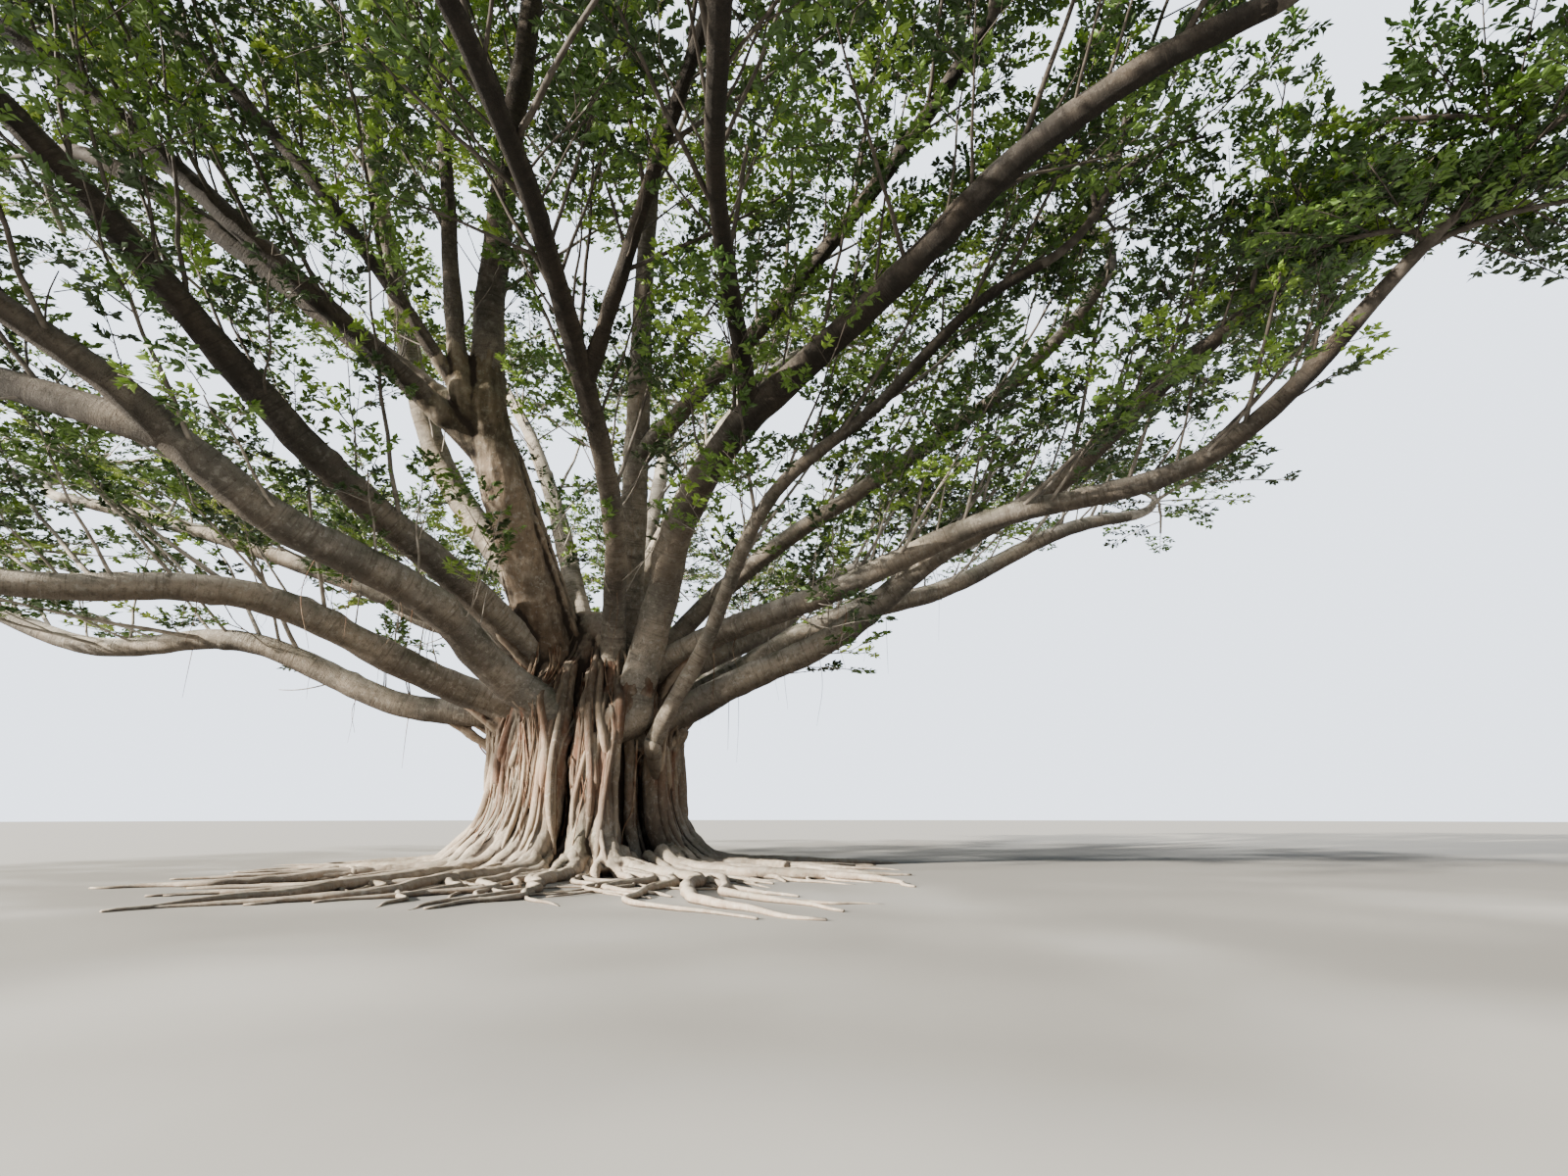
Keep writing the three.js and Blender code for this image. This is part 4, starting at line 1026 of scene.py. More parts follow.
def spray_outline(start, way, length):
    """The points of a spray that have to fit: along its rib, and its two shoulders."""
    side = level_side(way) * SPRAY["width"] / 2
    rib = start + way * (length * np.array([0.25, 0.5, 0.75, 1.0]))[:, None]
    shoulder = start + way * (length * SHOULDER)
    return np.vstack([rib, shoulder + side, shoulder - side])


class Crown:
    """Collects the crown's twigs and sprays before they become meshes."""

    def __init__(self):
        self.stems, self.primaries, self.branches = [], [], []
        self.sprays, self.side_sprays = [], []

    def grow_mass(self, m, name):
        stem, radius = stem_of(name)
        self.stems.append((bend(stem, np.linspace(-0.06, 1, 14)),
                           np.linspace(radius, STEM["tip_radius"], 14)))
        primaries = list(primaries_of(m, stem))
        if name in DENSE_MASSES:
            self.thicken(m, [stem] + [primary for _, primary in primaries])
        for i, primary in primaries:
            self.primaries.append((bend(primary, np.linspace(0, 1, 9)),
                                   np.linspace(*PRIMARY_RADII, 9)))
            for start, way, length in sprays_of(m, i, primary):
                for share in SPRAY_LENGTHS:
                    if fits(spray_outline(start, way, length * share), m):
                        self.sprays.append((start, way, length * share))
                        break

    def thicken(self, m, curves):
        """More sprays on a mass's stem and primaries, where the tree's crown is densest."""
        dice = np.random.default_rng(EXTRA_SPRAY_SEED + m)
        for curve in curves:
            for j in range(EXTRA_SPRAYS):
                t = dice.uniform(0.25, 1)
                along = bend_heading(curve, t)
                turn = math.radians(dice.uniform(25, 75)) * (1 if j % 2 else -1)
                way = unit(along * math.cos(turn) + level_side(along) * math.sin(turn)
                           + Z * dice.uniform(-0.3, 0.9))
                length = dice.uniform(1.1, 2.1)
                if fits(spray_outline(bend(curve, t), way, length), m):
                    self.sprays.append((bend(curve, t), way, length))

    def add_branch(self, control, foot, tip):
        self.branches.append((bend(control, np.linspace(0, 1, 9)), np.linspace(foot, tip, 9)))

    def grow_branches(self, limb, seed):
        """Thin leafy branches that rise from a limb between its foot and its mass."""
        dice = np.random.default_rng(seed)
        branches = int(limb.length * BRANCHES_A_METRE)
        for k in range(branches):
            at = FIRST_BRANCH + BRANCHED_PART * (k + dice.uniform(0, 1)) / branches
            along = limb.line.heading_at(at)
            side = level_side(along) * (1 if k % 2 else -1)
            way = unit(along * dice.uniform(0.4, 1.2) + side * dice.uniform(0.25, 1.0)
                       + Z * dice.uniform(-0.1, 1.3))
            length = dice.uniform(1.5, 3.2) if k % 3 else dice.uniform(3.0, 5.4)
            start = limb.line.at(at)
            control = (start, start + way * length * 0.5 + Z * 0.03 * length,
                       start + way * length + Z * dice.uniform(0.0, 0.3) * length)
            if not fits(bend(control, np.linspace(min(0.5, 0.7 / length), 1, 8))):
                continue
            self.add_branch(control, 0.014 + 0.009 * length, 0.013)
            count = int(2 + length * 1.25)
            for j in range(count):
                self.try_spray(dice, control, 0.4 + 0.6 * (j + 1) / count, 0 if j == count - 1 else j)

    def grow_shoots(self, limb, first, last, seed):
        """Short shoots on the bare inner part of a limb."""
        dice = np.random.default_rng(seed)
        for _ in range(int(limb.length * (last - first) * SHOOTS_A_METRE)):
            at = dice.uniform(first, last)
            along = limb.line.heading_at(at)
            side, up = carried_frames(limb.line.at(np.array([at, at + 0.01])))
            turn = dice.uniform(0, TURN)
            way = unit(side[0] * math.cos(turn) + up[0] * math.sin(turn) + along * 0.5 + Z * 0.3)
            length = dice.uniform(0.6, 1.9)
            start = limb.line.at(at)
            control = (start, start + way * length * 0.5, start + way * length + Z * 0.2 * length)
            if clear_of_limbs(bend(control, np.linspace(0.75, 1, 3))):
                self.add_branch(control, 0.022, 0.01)
                for j, t in enumerate((1.0, 0.7)[:int(dice.integers(1, 3))]):
                    self.try_spray(dice, control, t, j)

    def try_spray(self, dice, control, t, j):
        ahead = bend_heading(control, t)
        if j:
            angle = math.radians(dice.uniform(30, 62)) * (1 if j % 2 else -1)
        else:
            angle = dice.uniform(-0.2, 0.2)
        out = unit(ahead * math.cos(angle) + level_side(ahead) * math.sin(angle)
                   + Z * dice.uniform(-0.15, 0.35))
        size = dice.uniform(0.9, 1.6)
        if fits(spray_outline(bend(control, t), out, size)):
            self.side_sprays.append((bend(control, t), out, size))


crown = Crown()
for order, mass_name in enumerate(MASS_NAMES):
    crown.grow_mass(order, mass_name)
for order, limb in enumerate(limbs.values()):
    if limb is leader:
        for more, (first, last) in enumerate(((0.35, 0.98), (0.8, 1.0), (0.9, 1.0))):
            crown.grow_shoots(limb, first, last, LEADER_SHOOT_SEED + more)
        continue
    crown.grow_branches(limb, BRANCH_SEED + order)
    crown.grow_shoots(limb, 0.12, 0.4, SHOOT_SEED + order)

# Sprays low at the front, which are seen from close by, have leaves of the full outline. The others
# have more leaves of a simpler one. A leaf's outline is along, across and above its midrib.
CLOSE_WITHIN = 15.5
GROWTH = {
    "near mass": dict(twiglets=9, leaves=13),
    "near side": dict(twiglets=5, leaves=13),
    "far mass": dict(twiglets=9, leaves=15),
    "far side": dict(twiglets=5, leaves=14),
}
LEAF_LENGTH, SPRAY_DROOP = 0.175, 0.1
FIRST_TWIGLET, TWIGLET_PART = 0.16, 0.82
FULL_LEAF = (np.array([[0, 0, 0], [0.28, 0.215, 0.05], [0.66, 0.2, 0.03],
                       [1, 0, -0.08], [0.66, -0.2, 0.03], [0.28, -0.215, 0.05]]),
             np.array([[0, 1, 2, 3], [0, 3, 4, 5]]))
SIMPLE_LEAF = (np.array([[0, 0, 0], [0.45, 0.25, 0.05], [1, 0, -0.08], [0.45, -0.25, 0.05]]),
               np.array([[0, 1, 2], [0, 2, 3]]))


class Foliage:
    """Sprays grown to their twiglets and leaves, as arrays."""

    def __init__(self, sprays, twiglets, leaves, seed):
        dice = np.random.default_rng(seed)
        self.start, self.way = (np.array([s[k] for s in sprays]) for k in (0, 1))
        self.length = np.array([s[2] for s in sprays])
        side = level_side(self.way)
        up = np.cross(side, self.way)
        k = np.arange(twiglets)
        s = (FIRST_TWIGLET + TWIGLET_PART * (k + 0.5) / twiglets
             + dice.uniform(-0.03, 0.03, (len(sprays), twiglets)))
        sign = np.where(k % 2, 1, -1)[None] * np.ones((len(sprays), 1))
        width = SPRAY["width"] / 2 * np.where(s < SHOULDER, 0.45 + 0.55 * s / SHOULDER,
                                              1.05 - 0.75 * (s - SHOULDER) / (1 - SHOULDER))
        scale = (self.length / SPRAY["length"])[:, None] ** 0.6
        turn = np.radians(dice.uniform(36, 62, s.shape))
        way = (self.way[:, None] * np.cos(turn)[..., None]
               + side[:, None] * (sign * np.sin(turn))[..., None]
               + up[:, None] * dice.uniform(-0.25, 0.4, s.shape)[..., None])
        self.twiglet_foot, self.twiglet_way = self.spine(s), unit(way)
        self.twiglet_reach = width * dice.uniform(0.85, 1.3, s.shape) * scale
        self.set_leaves(dice, leaves)

    def spine(self, s):
        """Points along the sprays' own twigs, which droop a little to their tips."""
        reach = self.length[:, None] * s
        drop = SPRAY_DROOP * self.length[:, None] * s**2
        return self.start[:, None] + self.way[:, None] * reach[..., None] - Z * drop[..., None]

    def set_leaves(self, dice, leaves):
        shape = (*self.twiglet_reach.shape, leaves)
        along = 0.2 + 0.86 * (np.arange(leaves) + dice.uniform(0, 0.8, shape)) / leaves
        way = self.twiglet_way[:, :, None]
        base = self.twiglet_foot[:, :, None] + way * (along * self.twiglet_reach[..., None])[..., None]
        side = level_side(way)
        up = np.cross(side, way)
        turn = np.radians(dice.uniform(22, 78, shape)) * np.where(np.arange(leaves) % 2, 1, -1)
        tilt = dice.uniform(-0.5, 0.45, shape)
        out = unit(way * np.cos(turn)[..., None] + side * np.sin(turn)[..., None]
                   + up * tilt[..., None])
        face = Z + dice.normal(0, 0.5, (*shape, 3))
        self.leaf_base, self.leaf_way = base, out
        self.leaf_face = unit(face - out * (face * out).sum(axis=-1, keepdims=True))
        self.leaf_size = LEAF_LENGTH * dice.uniform(0.7, 1.2, shape)


def leaf_mesh(label, foliage, chosen, kind):
    """The leaves of the chosen sprays as one mesh."""
    outline, faces = kind
    base, way, face = (part[chosen].reshape(-1, 1, 3)
                       for part in (foliage.leaf_base, foliage.leaf_way, foliage.leaf_face))
    size = foliage.leaf_size[chosen].reshape(-1, 1, 1)
    u, v, w = (outline[:, axis][None, :, None] for axis in range(3))
    verts = base + size * (way * u + np.cross(face, way) * v + face * w)
    index = faces[None] + len(outline) * np.arange(len(verts))[:, None, None]
    sheaf = Sheaf()
    sheaf.add(verts, [index.reshape(-1, faces.shape[1])])
    return sheaf.mesh(label, smooth=False, mark=None)


def stem_sheaf():
    """The stems and primaries of the masses, and the thin branches along the boughs."""
    sheaf = Sheaf()
    for line, radii in crown.stems:
        sheaf.add_limb(line, radii, 10)
    for kind, sides in ((crown.primaries, 6), (crown.branches, 5)):
        lines, radii = (np.array([row[k] for row in kind]) for k in (0, 1))
        sway = waves(lines, 1.1, 81) * np.linspace(0, 1, lines.shape[1]) ** 0.5
        sheaf.add(*tubes(lines + sway[..., None] * np.array([0.06, 0.06, 0.04]), radii, sides))
    return sheaf


def spine_sheaf(groups):
    sheaf = Sheaf()
    for foliage in groups:
        lines = foliage.spine(np.repeat(np.linspace(0, 1, 4)[None], len(foliage.start), axis=0))
        radii = np.outer(foliage.length / SPRAY["length"], np.linspace(0.022, 0.008, 4)) + 0.002
        sheaf.add(*tubes(lines, radii, 3))
    return sheaf


def twiglet_sheaf(groups):
    sheaf = Sheaf()
    for foliage in groups:
        foot = foliage.twiglet_foot.reshape(-1, 1, 3)
        reach = foliage.twiglet_way.reshape(-1, 1, 3) * foliage.twiglet_reach.reshape(-1, 1, 1)
        lines = foot + reach * np.array([0, 1.0])[None, :, None]
        sheaf.add(*tubes(lines, np.repeat([[0.009, 0.003]], len(lines), axis=0), 3))
    return sheaf


# Finishes
class Nodes:
    """Makes and joins the nodes of one material, node group or world."""

    def __init__(self, tree):
        self.tree = tree

    def make(self, kind, **values):
        made = self.tree.nodes.new(kind)
        for name, value in values.items():
            setattr(made, name, value)
        return made

    def feed(self, socket, value):
        """Links a socket to another one, or gives it a plain value."""
        if isinstance(value, bpy.types.NodeSocket):
            self.tree.links.new(value, socket)
        else:
            socket.default_value = value

    def filled(self, kind, inputs, **values):
        made = self.make(kind, **values)
        for name, value in inputs.items():
            self.feed(made.inputs[name], value)
        return made

    def mixed(self, factor, a, b, blend="MIX"):
        return self.filled("ShaderNodeMix", {0: factor, 6: a, 7: b},
                           data_type="RGBA", blend_type=blend).outputs[2]

    def maths(self, operation, *values, clamp=False):
        return self.filled("ShaderNodeMath", dict(enumerate(values)),
                           operation=operation, use_clamp=clamp).outputs[0]

    def times(self, *values, clamp=False):
        return self.maths("MULTIPLY", *values, clamp=clamp)

    def tinted(self, color, mask, share, paint):
        """A colour with some paint where the mask is."""
        return self.mixed(self.times(mask, share), color, (*paint, 1))

    def darkened(self, color, by):
        return self.mixed(1.0, color, (*by, 1), "MULTIPLY")

    def noise(self, vector, scale, detail=4, roughness=0.55):
        inputs = dict(Scale=scale, Detail=detail, Roughness=roughness, Vector=vector)
        return self.filled("ShaderNodeTexNoise", inputs).outputs["Fac"]

    def band(self, value, low, high, flip=False):
        """0 below low and 1 above high, or the other way round."""
        inputs = {"Value": value, "From Min": low, "From Max": high,
                  "To Min": 1 if flip else 0, "To Max": 0 if flip else 1}
        return self.filled("ShaderNodeMapRange", inputs,
                           interpolation_type="SMOOTHSTEP").outputs["Result"]

    def stretched(self, vector, x, y, z):
        return self.filled("ShaderNodeVectorMath", {0: vector, 1: (x, y, z)},
                           operation="MULTIPLY").outputs[0]

    def parts(self, vector):
        return self.filled("ShaderNodeSeparateXYZ", {0: vector}).outputs

    def place(self):
        return self.make("ShaderNodeTexCoord").outputs["Object"]

    def mark(self, name):
        return self.make("ShaderNodeAttribute", attribute_name=name).outputs["Fac"]

    def group(self, tree, **inputs):
        named = {name.replace("_", " "): value for name, value in inputs.items()}
        return self.filled("ShaderNodeGroup", named, node_tree=tree).outputs

    def finish(self, shader, color, height, depth):
        """Gives a shader its colour, and a bump of some depth."""
        self.feed(shader.inputs["Base Color"], color)
        inputs = dict(Strength=1.0, Distance=depth, Height=height)
        self.feed(shader.inputs["Normal"], self.filled("ShaderNodeBump", inputs).outputs["Normal"])


def new_group(name, inputs, outputs):
    """A node group with its named inputs and outputs; F is a number, C a colour and V a vector."""
    kinds = dict(F="NodeSocketFloat", C="NodeSocketColor", V="NodeSocketVector")
    group = bpy.data.node_groups.new(name, "ShaderNodeTree")
    for in_out, sockets in (("INPUT", inputs), ("OUTPUT", outputs)):
        for socket, kind in sockets.items():
            group.interface.new_socket(socket, in_out=in_out, socket_type=kinds[kind])
    nodes = Nodes(group)
    return nodes, nodes.make("NodeGroupInput").outputs, nodes.make("NodeGroupOutput").inputs


# What lies on all the bark: scale, detail and roughness of its noise, its band, share and colour
BARK_LAYERS = dict(
    blotches=((3.2, 5, 0.65), (0.5, 0.68), 0.45, (0.47, 0.425, 0.35)),
    lichen=((9.0, 4, 0.6), (0.56, 0.64), 0.45, (0.53, 0.505, 0.45)),
    stains=((6.5, 6, 0.7), (0.5, 0.62), 0.42, (0.075, 0.058, 0.042)),
    specks=((17, 3, 0.7), (0.6, 0.7), 0.5, (0.08, 0.06, 0.045)),
)
# Paint for the painted highlight on upward faces, the painted shade on undersides, and the painted shade
# high over the front
TOP_HIGHLIGHT, UNDERSIDE_SHADE, OVERHEAD_SHADE_TINT = (0.53, 0.50, 0.44), (0.23, 0.21, 0.195), (0.15, 0.135, 0.125)


def bark_weathering_and_painted_light():
    """What all the bark shares: broad grey and tan patches, moss on top, dark specks, fine grain, a
    painted highlight on upward faces and painted shade on undersides.
    """
    inputs = {"Position": "V", "Bare bark": "C", "Grey bark": "C", "Moss": "C", "Moss amount": "F"}
    nodes, given, result = new_group("bark_weathering_and_painted_light", inputs, {"Color": "C", "Grain": "F"})
    at = given["Position"]
    patches = nodes.band(nodes.noise(at, 0.55, 5, 0.6), 0.38, 0.62)
    color = nodes.mixed(patches, given["Bare bark"], given["Grey bark"])
    for grain, edges, share, paint in BARK_LAYERS.values():
        color = nodes.tinted(color, nodes.band(nodes.noise(at, *grain), *edges), share, paint)
    lie = nodes.parts(nodes.make("ShaderNodeNewGeometry").outputs["Normal"])["Z"]
    above = nodes.band(lie, -0.1, 0.75)
    below = nodes.band(lie, -0.82, -0.06, flip=True)
    # Painted highlight: faces that look upwards are paler
    color = nodes.tinted(color, nodes.band(lie, 0.0, 0.65), 0.42, TOP_HIGHLIGHT)
    moss = nodes.band(nodes.noise(at, 1.1, 7, 0.68), 0.47, 0.66)
    moss = nodes.times(nodes.times(moss, nodes.maths("ADD", above, 0.25)), given["Moss amount"],
                       clamp=True)
    color = nodes.mixed(moss, color, given["Moss"])
    # Painted shade: undersides are darkened
    color = nodes.mixed(nodes.times(below, 0.9), color, nodes.darkened(color, UNDERSIDE_SHADE))
    nodes.feed(result["Color"], color)
    nodes.feed(result["Grain"], nodes.noise(at, 34, 6, 0.7))
    return nodes.tree


def overhead_painted_shade():
    """Painted shade on limbs that hang out high over the front: their colour is darkened there, as the
    crown shades them.
    """
    nodes, given, result = new_group("overhead_painted_shade", {"Position": "V", "Color": "C"}, {"Color": "C"})
    parts = nodes.parts(given["Position"])
    front = nodes.band(parts["Y"], -6.0, -1.2, flip=True)
    high = nodes.band(parts["Z"], 6.0, 9.5)
    share = nodes.times(nodes.times(front, high), 0.92)
    dark = nodes.darkened(given["Color"], OVERHEAD_SHADE_TINT)
    nodes.feed(result["Color"], nodes.mixed(share, given["Color"], dark))
    return nodes.tree


WEATHERING_AND_PAINTED_LIGHT, OVERHEAD_SHADE = bark_weathering_and_painted_light(), overhead_painted_shade()


def new_material(name, roughness, specular=0.3):
    material = bpy.data.materials.new(name)
    material.use_nodes = True
    shader = material.node_tree.nodes["Principled BSDF"]
    shader.inputs["Roughness"].default_value = roughness
    shader.inputs["Specular IOR Level"].default_value = specular
    return material, Nodes(material.node_tree), shader


def weathered_and_lit(nodes, bare, grey, moss, amount):
    """The shared weathering, painted highlight and painted shade over a bark's own colours: its colour,
    its grain and the place.
    """
    at = nodes.place()
    made = nodes.group(WEATHERING_AND_PAINTED_LIGHT, Position=at, Bare_bark=(*bare, 1), Grey_bark=(*grey, 1),
                       Moss=(*moss, 1), Moss_amount=amount)
    return made["Color"], made["Grain"], at


def bough_bark():
    """Smooth pale bark with fine rings round the limb."""
    material, nodes, shader = new_material("ringed_bough_bark", 0.82)
    color, grain, at = weathered_and_lit(nodes, (0.35, 0.298, 0.235), (0.20, 0.182, 0.158),
                                 (0.062, 0.07, 0.034), 0.65)
    run = nodes.filled("ShaderNodeCombineXYZ", {0: nodes.times(nodes.mark("along"), 21.0)}).outputs[0]
    ringed = nodes.filled("ShaderNodeVectorMath", {0: nodes.stretched(at, 1.4, 1.4, 1.4), 1: run},
                          operation="ADD").outputs[0]
    rings = nodes.noise(ringed, 1.0, 5, 0.62)
    color = nodes.tinted(color, nodes.band(rings, 0.36, 0.46, flip=True), 0.42, (0.05, 0.038, 0.028))
    color = nodes.tinted(color, nodes.band(rings, 0.6, 0.7), 0.18, (0.42, 0.36, 0.28))
    # Painted shade on the parts that hang high over the front
    color = nodes.group(OVERHEAD_SHADE, Position=at, Color=color)["Color"]
    nodes.finish(shader, color, nodes.maths("ADD", rings, nodes.times(grain, 1.2)), 0.034)
    return material


def trunk_bark():
    """Bark of fused aerial roots: upright streaks, rusty where young roots run, darker higher up and at
    the leader's head, painted shade in creases, hollows and the recess, and a painted highlight on
    ridges.
    """
    material, nodes, shader = new_material("aerial_root_bark", 0.86)
    color, grain, at = weathered_and_lit(nodes, (0.27, 0.205, 0.145), (0.15, 0.122, 0.096),
                                 (0.08, 0.09, 0.045), 0.4)
    streaks = nodes.noise(nodes.stretched(at, 5.5, 5.5, 0.7), 1.0, 6, 0.62)
    color = nodes.tinted(color, nodes.band(streaks, 0.34, 0.5, flip=True), 0.55, (0.12, 0.085, 0.06))
    rust = nodes.band(nodes.noise(nodes.stretched(at, 2.3, 2.3, 0.35), 1.0, 4, 0.5), 0.48, 0.60)
    height = nodes.parts(at)["Z"]
    rusty = nodes.times(nodes.band(height, 0.8, 2.2), nodes.band(height, 4.6, 5.8, flip=True))
    color = nodes.tinted(color, nodes.times(rust, rusty), 0.66, (0.165, 0.066, 0.034))
    shade = nodes.mark("shade")
    for amount, paint in ((0.4, (0.45, 0.375, 0.285, 1)), (-0.6, (0.13, 0.095, 0.07, 1))):
        color = nodes.mixed(nodes.times(shade, amount, clamp=True), color, paint)
    upper = nodes.times(nodes.band(height, 2.4, 4.2), nodes.band(height, 5.3, 6.8, flip=True))
    color = nodes.mixed(upper, color, nodes.darkened(color, (0.52, 0.48, 0.45)))
    head = nodes.times(nodes.band(height, 8.6, 10.0), 0.75)
    color = nodes.mixed(head, color, nodes.darkened(color, (0.34, 0.36, 0.27)))
    crease = nodes.mark("crease")
    # Painted highlight on ridges, and painted shade in creases, hollows and the recess
    color = nodes.tinted(color, nodes.band(crease, -0.75, -0.12, flip=True), 0.4, (0.50, 0.415, 0.32))
    color = nodes.tinted(color, nodes.band(crease, -0.04, 0.34), 0.93, (0.022, 0.015, 0.011))
    nodes.finish(shader, color, nodes.maths("ADD", streaks, nodes.times(grain, 0.3)), 0.045)
    return material


def root_bark():
    """Worn pale bark of the roots that run over the ground."""
    material, nodes, shader = new_material("surface_root_bark", 0.88)
    color, grain, at = weathered_and_lit(nodes, (0.36, 0.295, 0.23), (0.25, 0.21, 0.17),
                                 (0.14, 0.14, 0.075), 0.25)
    dust = nodes.band(nodes.noise(at, 7.0, 5, 0.6), 0.4, 0.6)
    nodes.finish(shader, nodes.tinted(color, dust, 0.35, (0.2, 0.13, 0.085)), grain, 0.02)
    return material


def mottled_bark(name, mottle, edges, dark, pale, grain, depth, shaded):
    """Plain mottled skin of things too thin for the weathering to show, with the painted shade high over
    the front where shaded is set.
    """
    material, nodes, shader = new_material(name, 0.8)
    at = nodes.place()
    color = nodes.mixed(nodes.band(nodes.noise(at, *mottle), *edges), (*dark, 1), (*pale, 1))
    if shaded:
        color = nodes.group(OVERHEAD_SHADE, Position=at, Color=color)["Color"]
    nodes.finish(shader, color, nodes.noise(at, grain), depth)
    return material


def thread_bark():
    """Rusty brown skin of thin aerial roots."""
    return mottled_bark("thin_aerial_root", (3.0, 5, 0.6), (0.4, 0.6), (0.13, 0.066, 0.038),
                        (0.27, 0.20, 0.14), grain=30.0, depth=0.01, shaded=False)


def twig_bark():
    """Grey-brown twigs, paler in patches, with painted shade where they hang high over the front."""
    return mottled_bark("twig_bark", (4.0, 4, 0.6), (0.35, 0.65), (0.17, 0.15, 0.125),
                        (0.36, 0.33, 0.29), grain=25.0, depth=0.008, shaded=True)


def leaf_skin(name, color):
    """One tint of leathery leaf, with a slight gloss."""
    material, _, shader = new_material("leaf_" + name, 0.42, 0.45)
    shader.inputs["Base Color"].default_value = (*color, 1)
    return material


# Each tint's colour, and its share of the sprays: greens from dark to light, partly the leaves' own
# spread of colour and partly painted light, the lighter tints standing for lit leaves and the darker
# ones for shaded leaves
LEAF_TINTS = {
    "deep": ((0.020, 0.046, 0.010), 0.22),
    "shade": ((0.042, 0.092, 0.016), 0.24),
    "mid": ((0.088, 0.165, 0.024), 0.26),
    "fresh_and_lit": ((0.17, 0.28, 0.034), 0.17),
    "sunlit": ((0.34, 0.45, 0.07), 0.11),
}
SUN_HIGH, SHADE_RIGHT, SHADE_FRONT = 0.1, 0.08, 0.27


def place_tree():
    bark, fused_bark = bough_bark(), trunk_bark()
    body = trunk_mesh()
    skin = skin_of(body)
    for name, mesh, material in (
        ("trunk_of_fused_roots", body, fused_bark),
        ("laid_aerial_roots", laid_strands(skin).mesh("laid_aerial_roots", mark="shade"), fused_bark),
        ("surface_roots", surface_roots().mesh("surface_roots"), root_bark()),
        ("thin_aerial_roots", aerial_threads(skin).mesh("thin_aerial_roots"), thread_bark()),
    ):
        piece(name, mesh, material, ["trunk"])
    for order, (name, limb) in enumerate(limbs.items()):
        if limb is not leader:
            start = 0.15 / limb.length if limb.carrier == "leader" else 0.0
            label = name.replace("foliage", "limb") + "_bark"
            mesh = bark_surface(limb, start, BARK_SEED + 10 * order).mesh(label)
            piece(label, mesh, bark, [name])


def grown(sprays, size):
    """The near and the far sprays of one size, grown to their leaves."""
    gaps = np.array([np.linalg.norm(start + way * length / 2 - EYE) for start, way, length in sprays])
    for reach, keep in (("near", gaps < CLOSE_WITHIN), ("far", gaps >= CLOSE_WITHIN)):
        kind = f"{reach} {size}"
        chosen = [spray for spray, kept in zip(sprays, keep) if kept]
        yield kind, Foliage(chosen, **GROWTH[kind], seed=LEAF_SEED + len(kind))


def tints_of(foliage, dice):
    """The tint of each spray, with painted light and painted shade: lighter high up, darker low down, to
    the right and over the front.
    """
    across, depth, height = foliage.start.T
    sun = (SUN_HIGH * np.clip((height - 10) / 12, 0, 1) - SHADE_RIGHT * across / CROWN_HALF_SIDE
           + SHADE_FRONT * np.clip(depth / CROWN_HALF_SIDE, -1, 0))
    pick = dice.uniform(0, 1, len(height)) * 0.9 + 0.06 + sun
    shares = np.cumsum([share for _, share in LEAF_TINTS.values()])
    return np.searchsorted(shares, np.clip(pick, 0, 0.999))


def place_crown():
    groups = {**dict(grown(crown.sprays, "mass")), **dict(grown(crown.side_sprays, "side"))}
    twigs = twig_bark()
    of_masses, of_branches = ([foliage for name, foliage in groups.items() if name.endswith(kind)]
                              for kind in ("mass", "side"))
    for label, sheaf in (("crown_branches", stem_sheaf()),
                         ("crown_sprigs", spine_sheaf(groups.values())),
                         ("crown_twigs_of_masses", twiglet_sheaf(of_masses)),
                         ("crown_twigs_of_branches", twiglet_sheaf(of_branches))):
        piece(label, sheaf.mesh(label), twigs, MASS_NAMES)
    dice = np.random.default_rng(LEAF_SEED)
    skins = [leaf_skin(name, color) for name, (color, _) in LEAF_TINTS.items()]
    for group, foliage in groups.items():
        tints = tints_of(foliage, dice)
        leaf = FULL_LEAF if group.startswith("near") else SIMPLE_LEAF
        most = TRIANGLES_A_PIECE // (foliage.leaf_size[0].size * (len(leaf[0]) - 2))
        for tint, name in enumerate(LEAF_TINTS):
            chosen = np.flatnonzero(tints == tint)
            for first in range(0, len(chosen), most):
                label = f"leaves_{group.replace(' ', '_')}_{name}_{first // most + 1}"
                mesh = leaf_mesh(label, foliage, chosen[first:first + most], leaf)
                piece(label, mesh, skins[tint], MASS_NAMES)


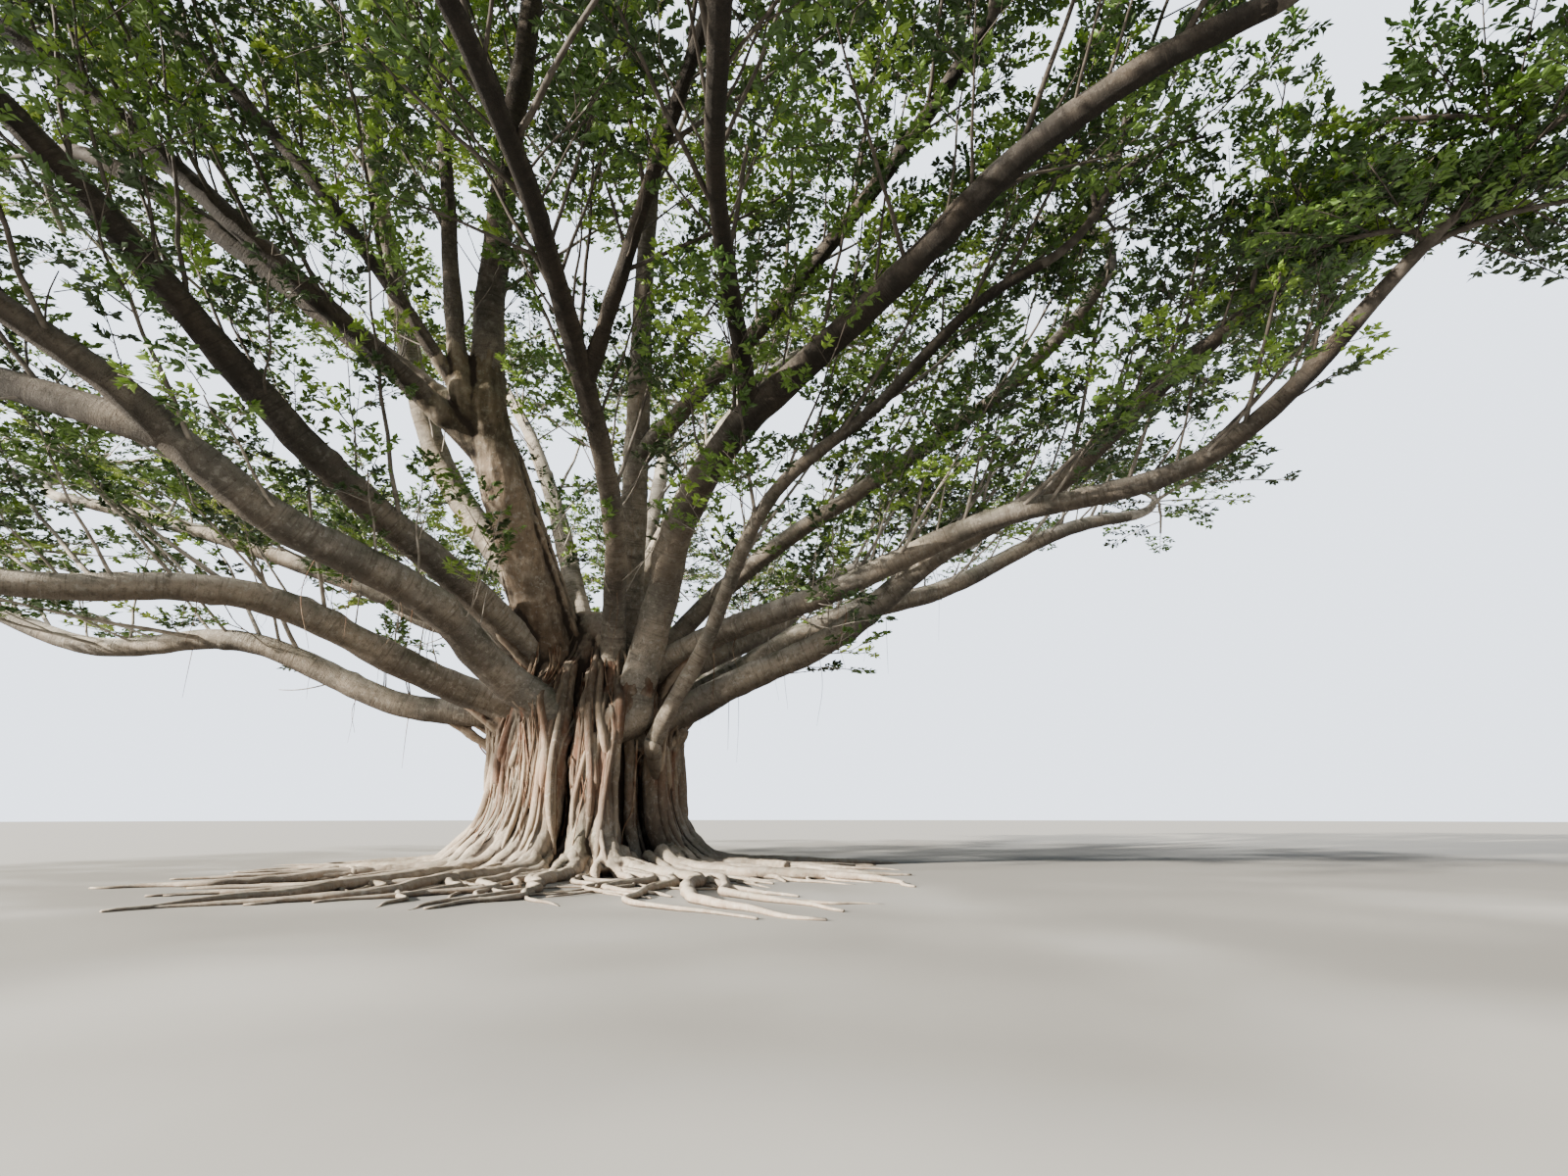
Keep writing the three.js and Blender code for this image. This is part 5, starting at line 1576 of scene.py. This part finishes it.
# Camera, floor and light. Each light's way, strength, spread in degrees and colour
TILT_UP = 16.2
SOFT_LIGHT, BACKDROP, SKY = 0.42, 3.0, (0.80, 0.88, 1.0, 1)
FLOOR_RADIUS, FLOOR_COLOR = 220, (0.25, 0.25, 0.24, 1)
LIGHTS = dict(
    key=((0.84, 0.45, -0.30), 20.0, 1.5, (1.0, 0.90, 0.76)),
    top=((0.5, 0.25, -1.0), 7.0, 6, (1.0, 0.96, 0.90)),
    side=((0.95, 0.20, -0.16), 6.0, 10, (1.0, 0.94, 0.84)),
)


def place_studio():
    scene = bpy.context.scene
    camera = bpy.data.objects.new("camera", bpy.data.cameras.new("camera"))
    camera.data.lens = 18
    camera.data.sensor_width = 36
    camera.location = EYE
    camera.rotation_euler = (math.radians(90 + TILT_UP), 0, 0)
    camera.data.clip_end = 500
    scene.collection.objects.link(camera)
    scene.camera = camera

    floor_mesh = bpy.data.meshes.new("floor")
    rim = [(FLOOR_RADIUS * math.cos(a), FLOOR_RADIUS * math.sin(a), 0)
           for a in np.linspace(0, TURN, 64, endpoint=False)]
    floor_mesh.from_pydata(rim, [], [range(len(rim))])
    floor = bpy.data.objects.new("floor", floor_mesh)
    scene.collection.objects.link(floor)
    material, _, shader = new_material("pale_floor", 0.9)
    shader.inputs["Base Color"].default_value = FLOOR_COLOR
    floor_mesh.materials.append(material)
    floor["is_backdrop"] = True

    scene.world = bpy.data.worlds.new("studio")
    scene.world.use_nodes = True
    nodes = Nodes(scene.world.node_tree)
    glows = [nodes.filled("ShaderNodeBackground", dict(Color=SKY, Strength=strength)).outputs[0]
             for strength in (SOFT_LIGHT, BACKDROP)]
    seen = nodes.make("ShaderNodeLightPath").outputs["Is Camera Ray"]
    both = nodes.filled("ShaderNodeMixShader", {0: seen, 1: glows[0], 2: glows[1]})
    nodes.feed(nodes.tree.nodes["World Output"].inputs["Surface"], both.outputs[0])

    for name, ((x, y, z), strength, spread, color) in LIGHTS.items():
        lamp = bpy.data.objects.new(name, bpy.data.lights.new(name, "SUN"))
        lamp.data.energy = strength
        lamp.data.angle = math.radians(spread)
        lamp.data.color = color
        lamp.rotation_euler = (math.acos(-z / math.sqrt(x * x + y * y + z * z)), 0,
                               math.atan2(y, x) - math.pi / 2)
        scene.collection.objects.link(lamp)


place_studio()
place_tree()
place_crown()

sizes = {"cad": CAD_BOX, "visual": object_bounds()}
{name: [[float(c) for c in corner] for corner in box] for name, box in sizes.items()}
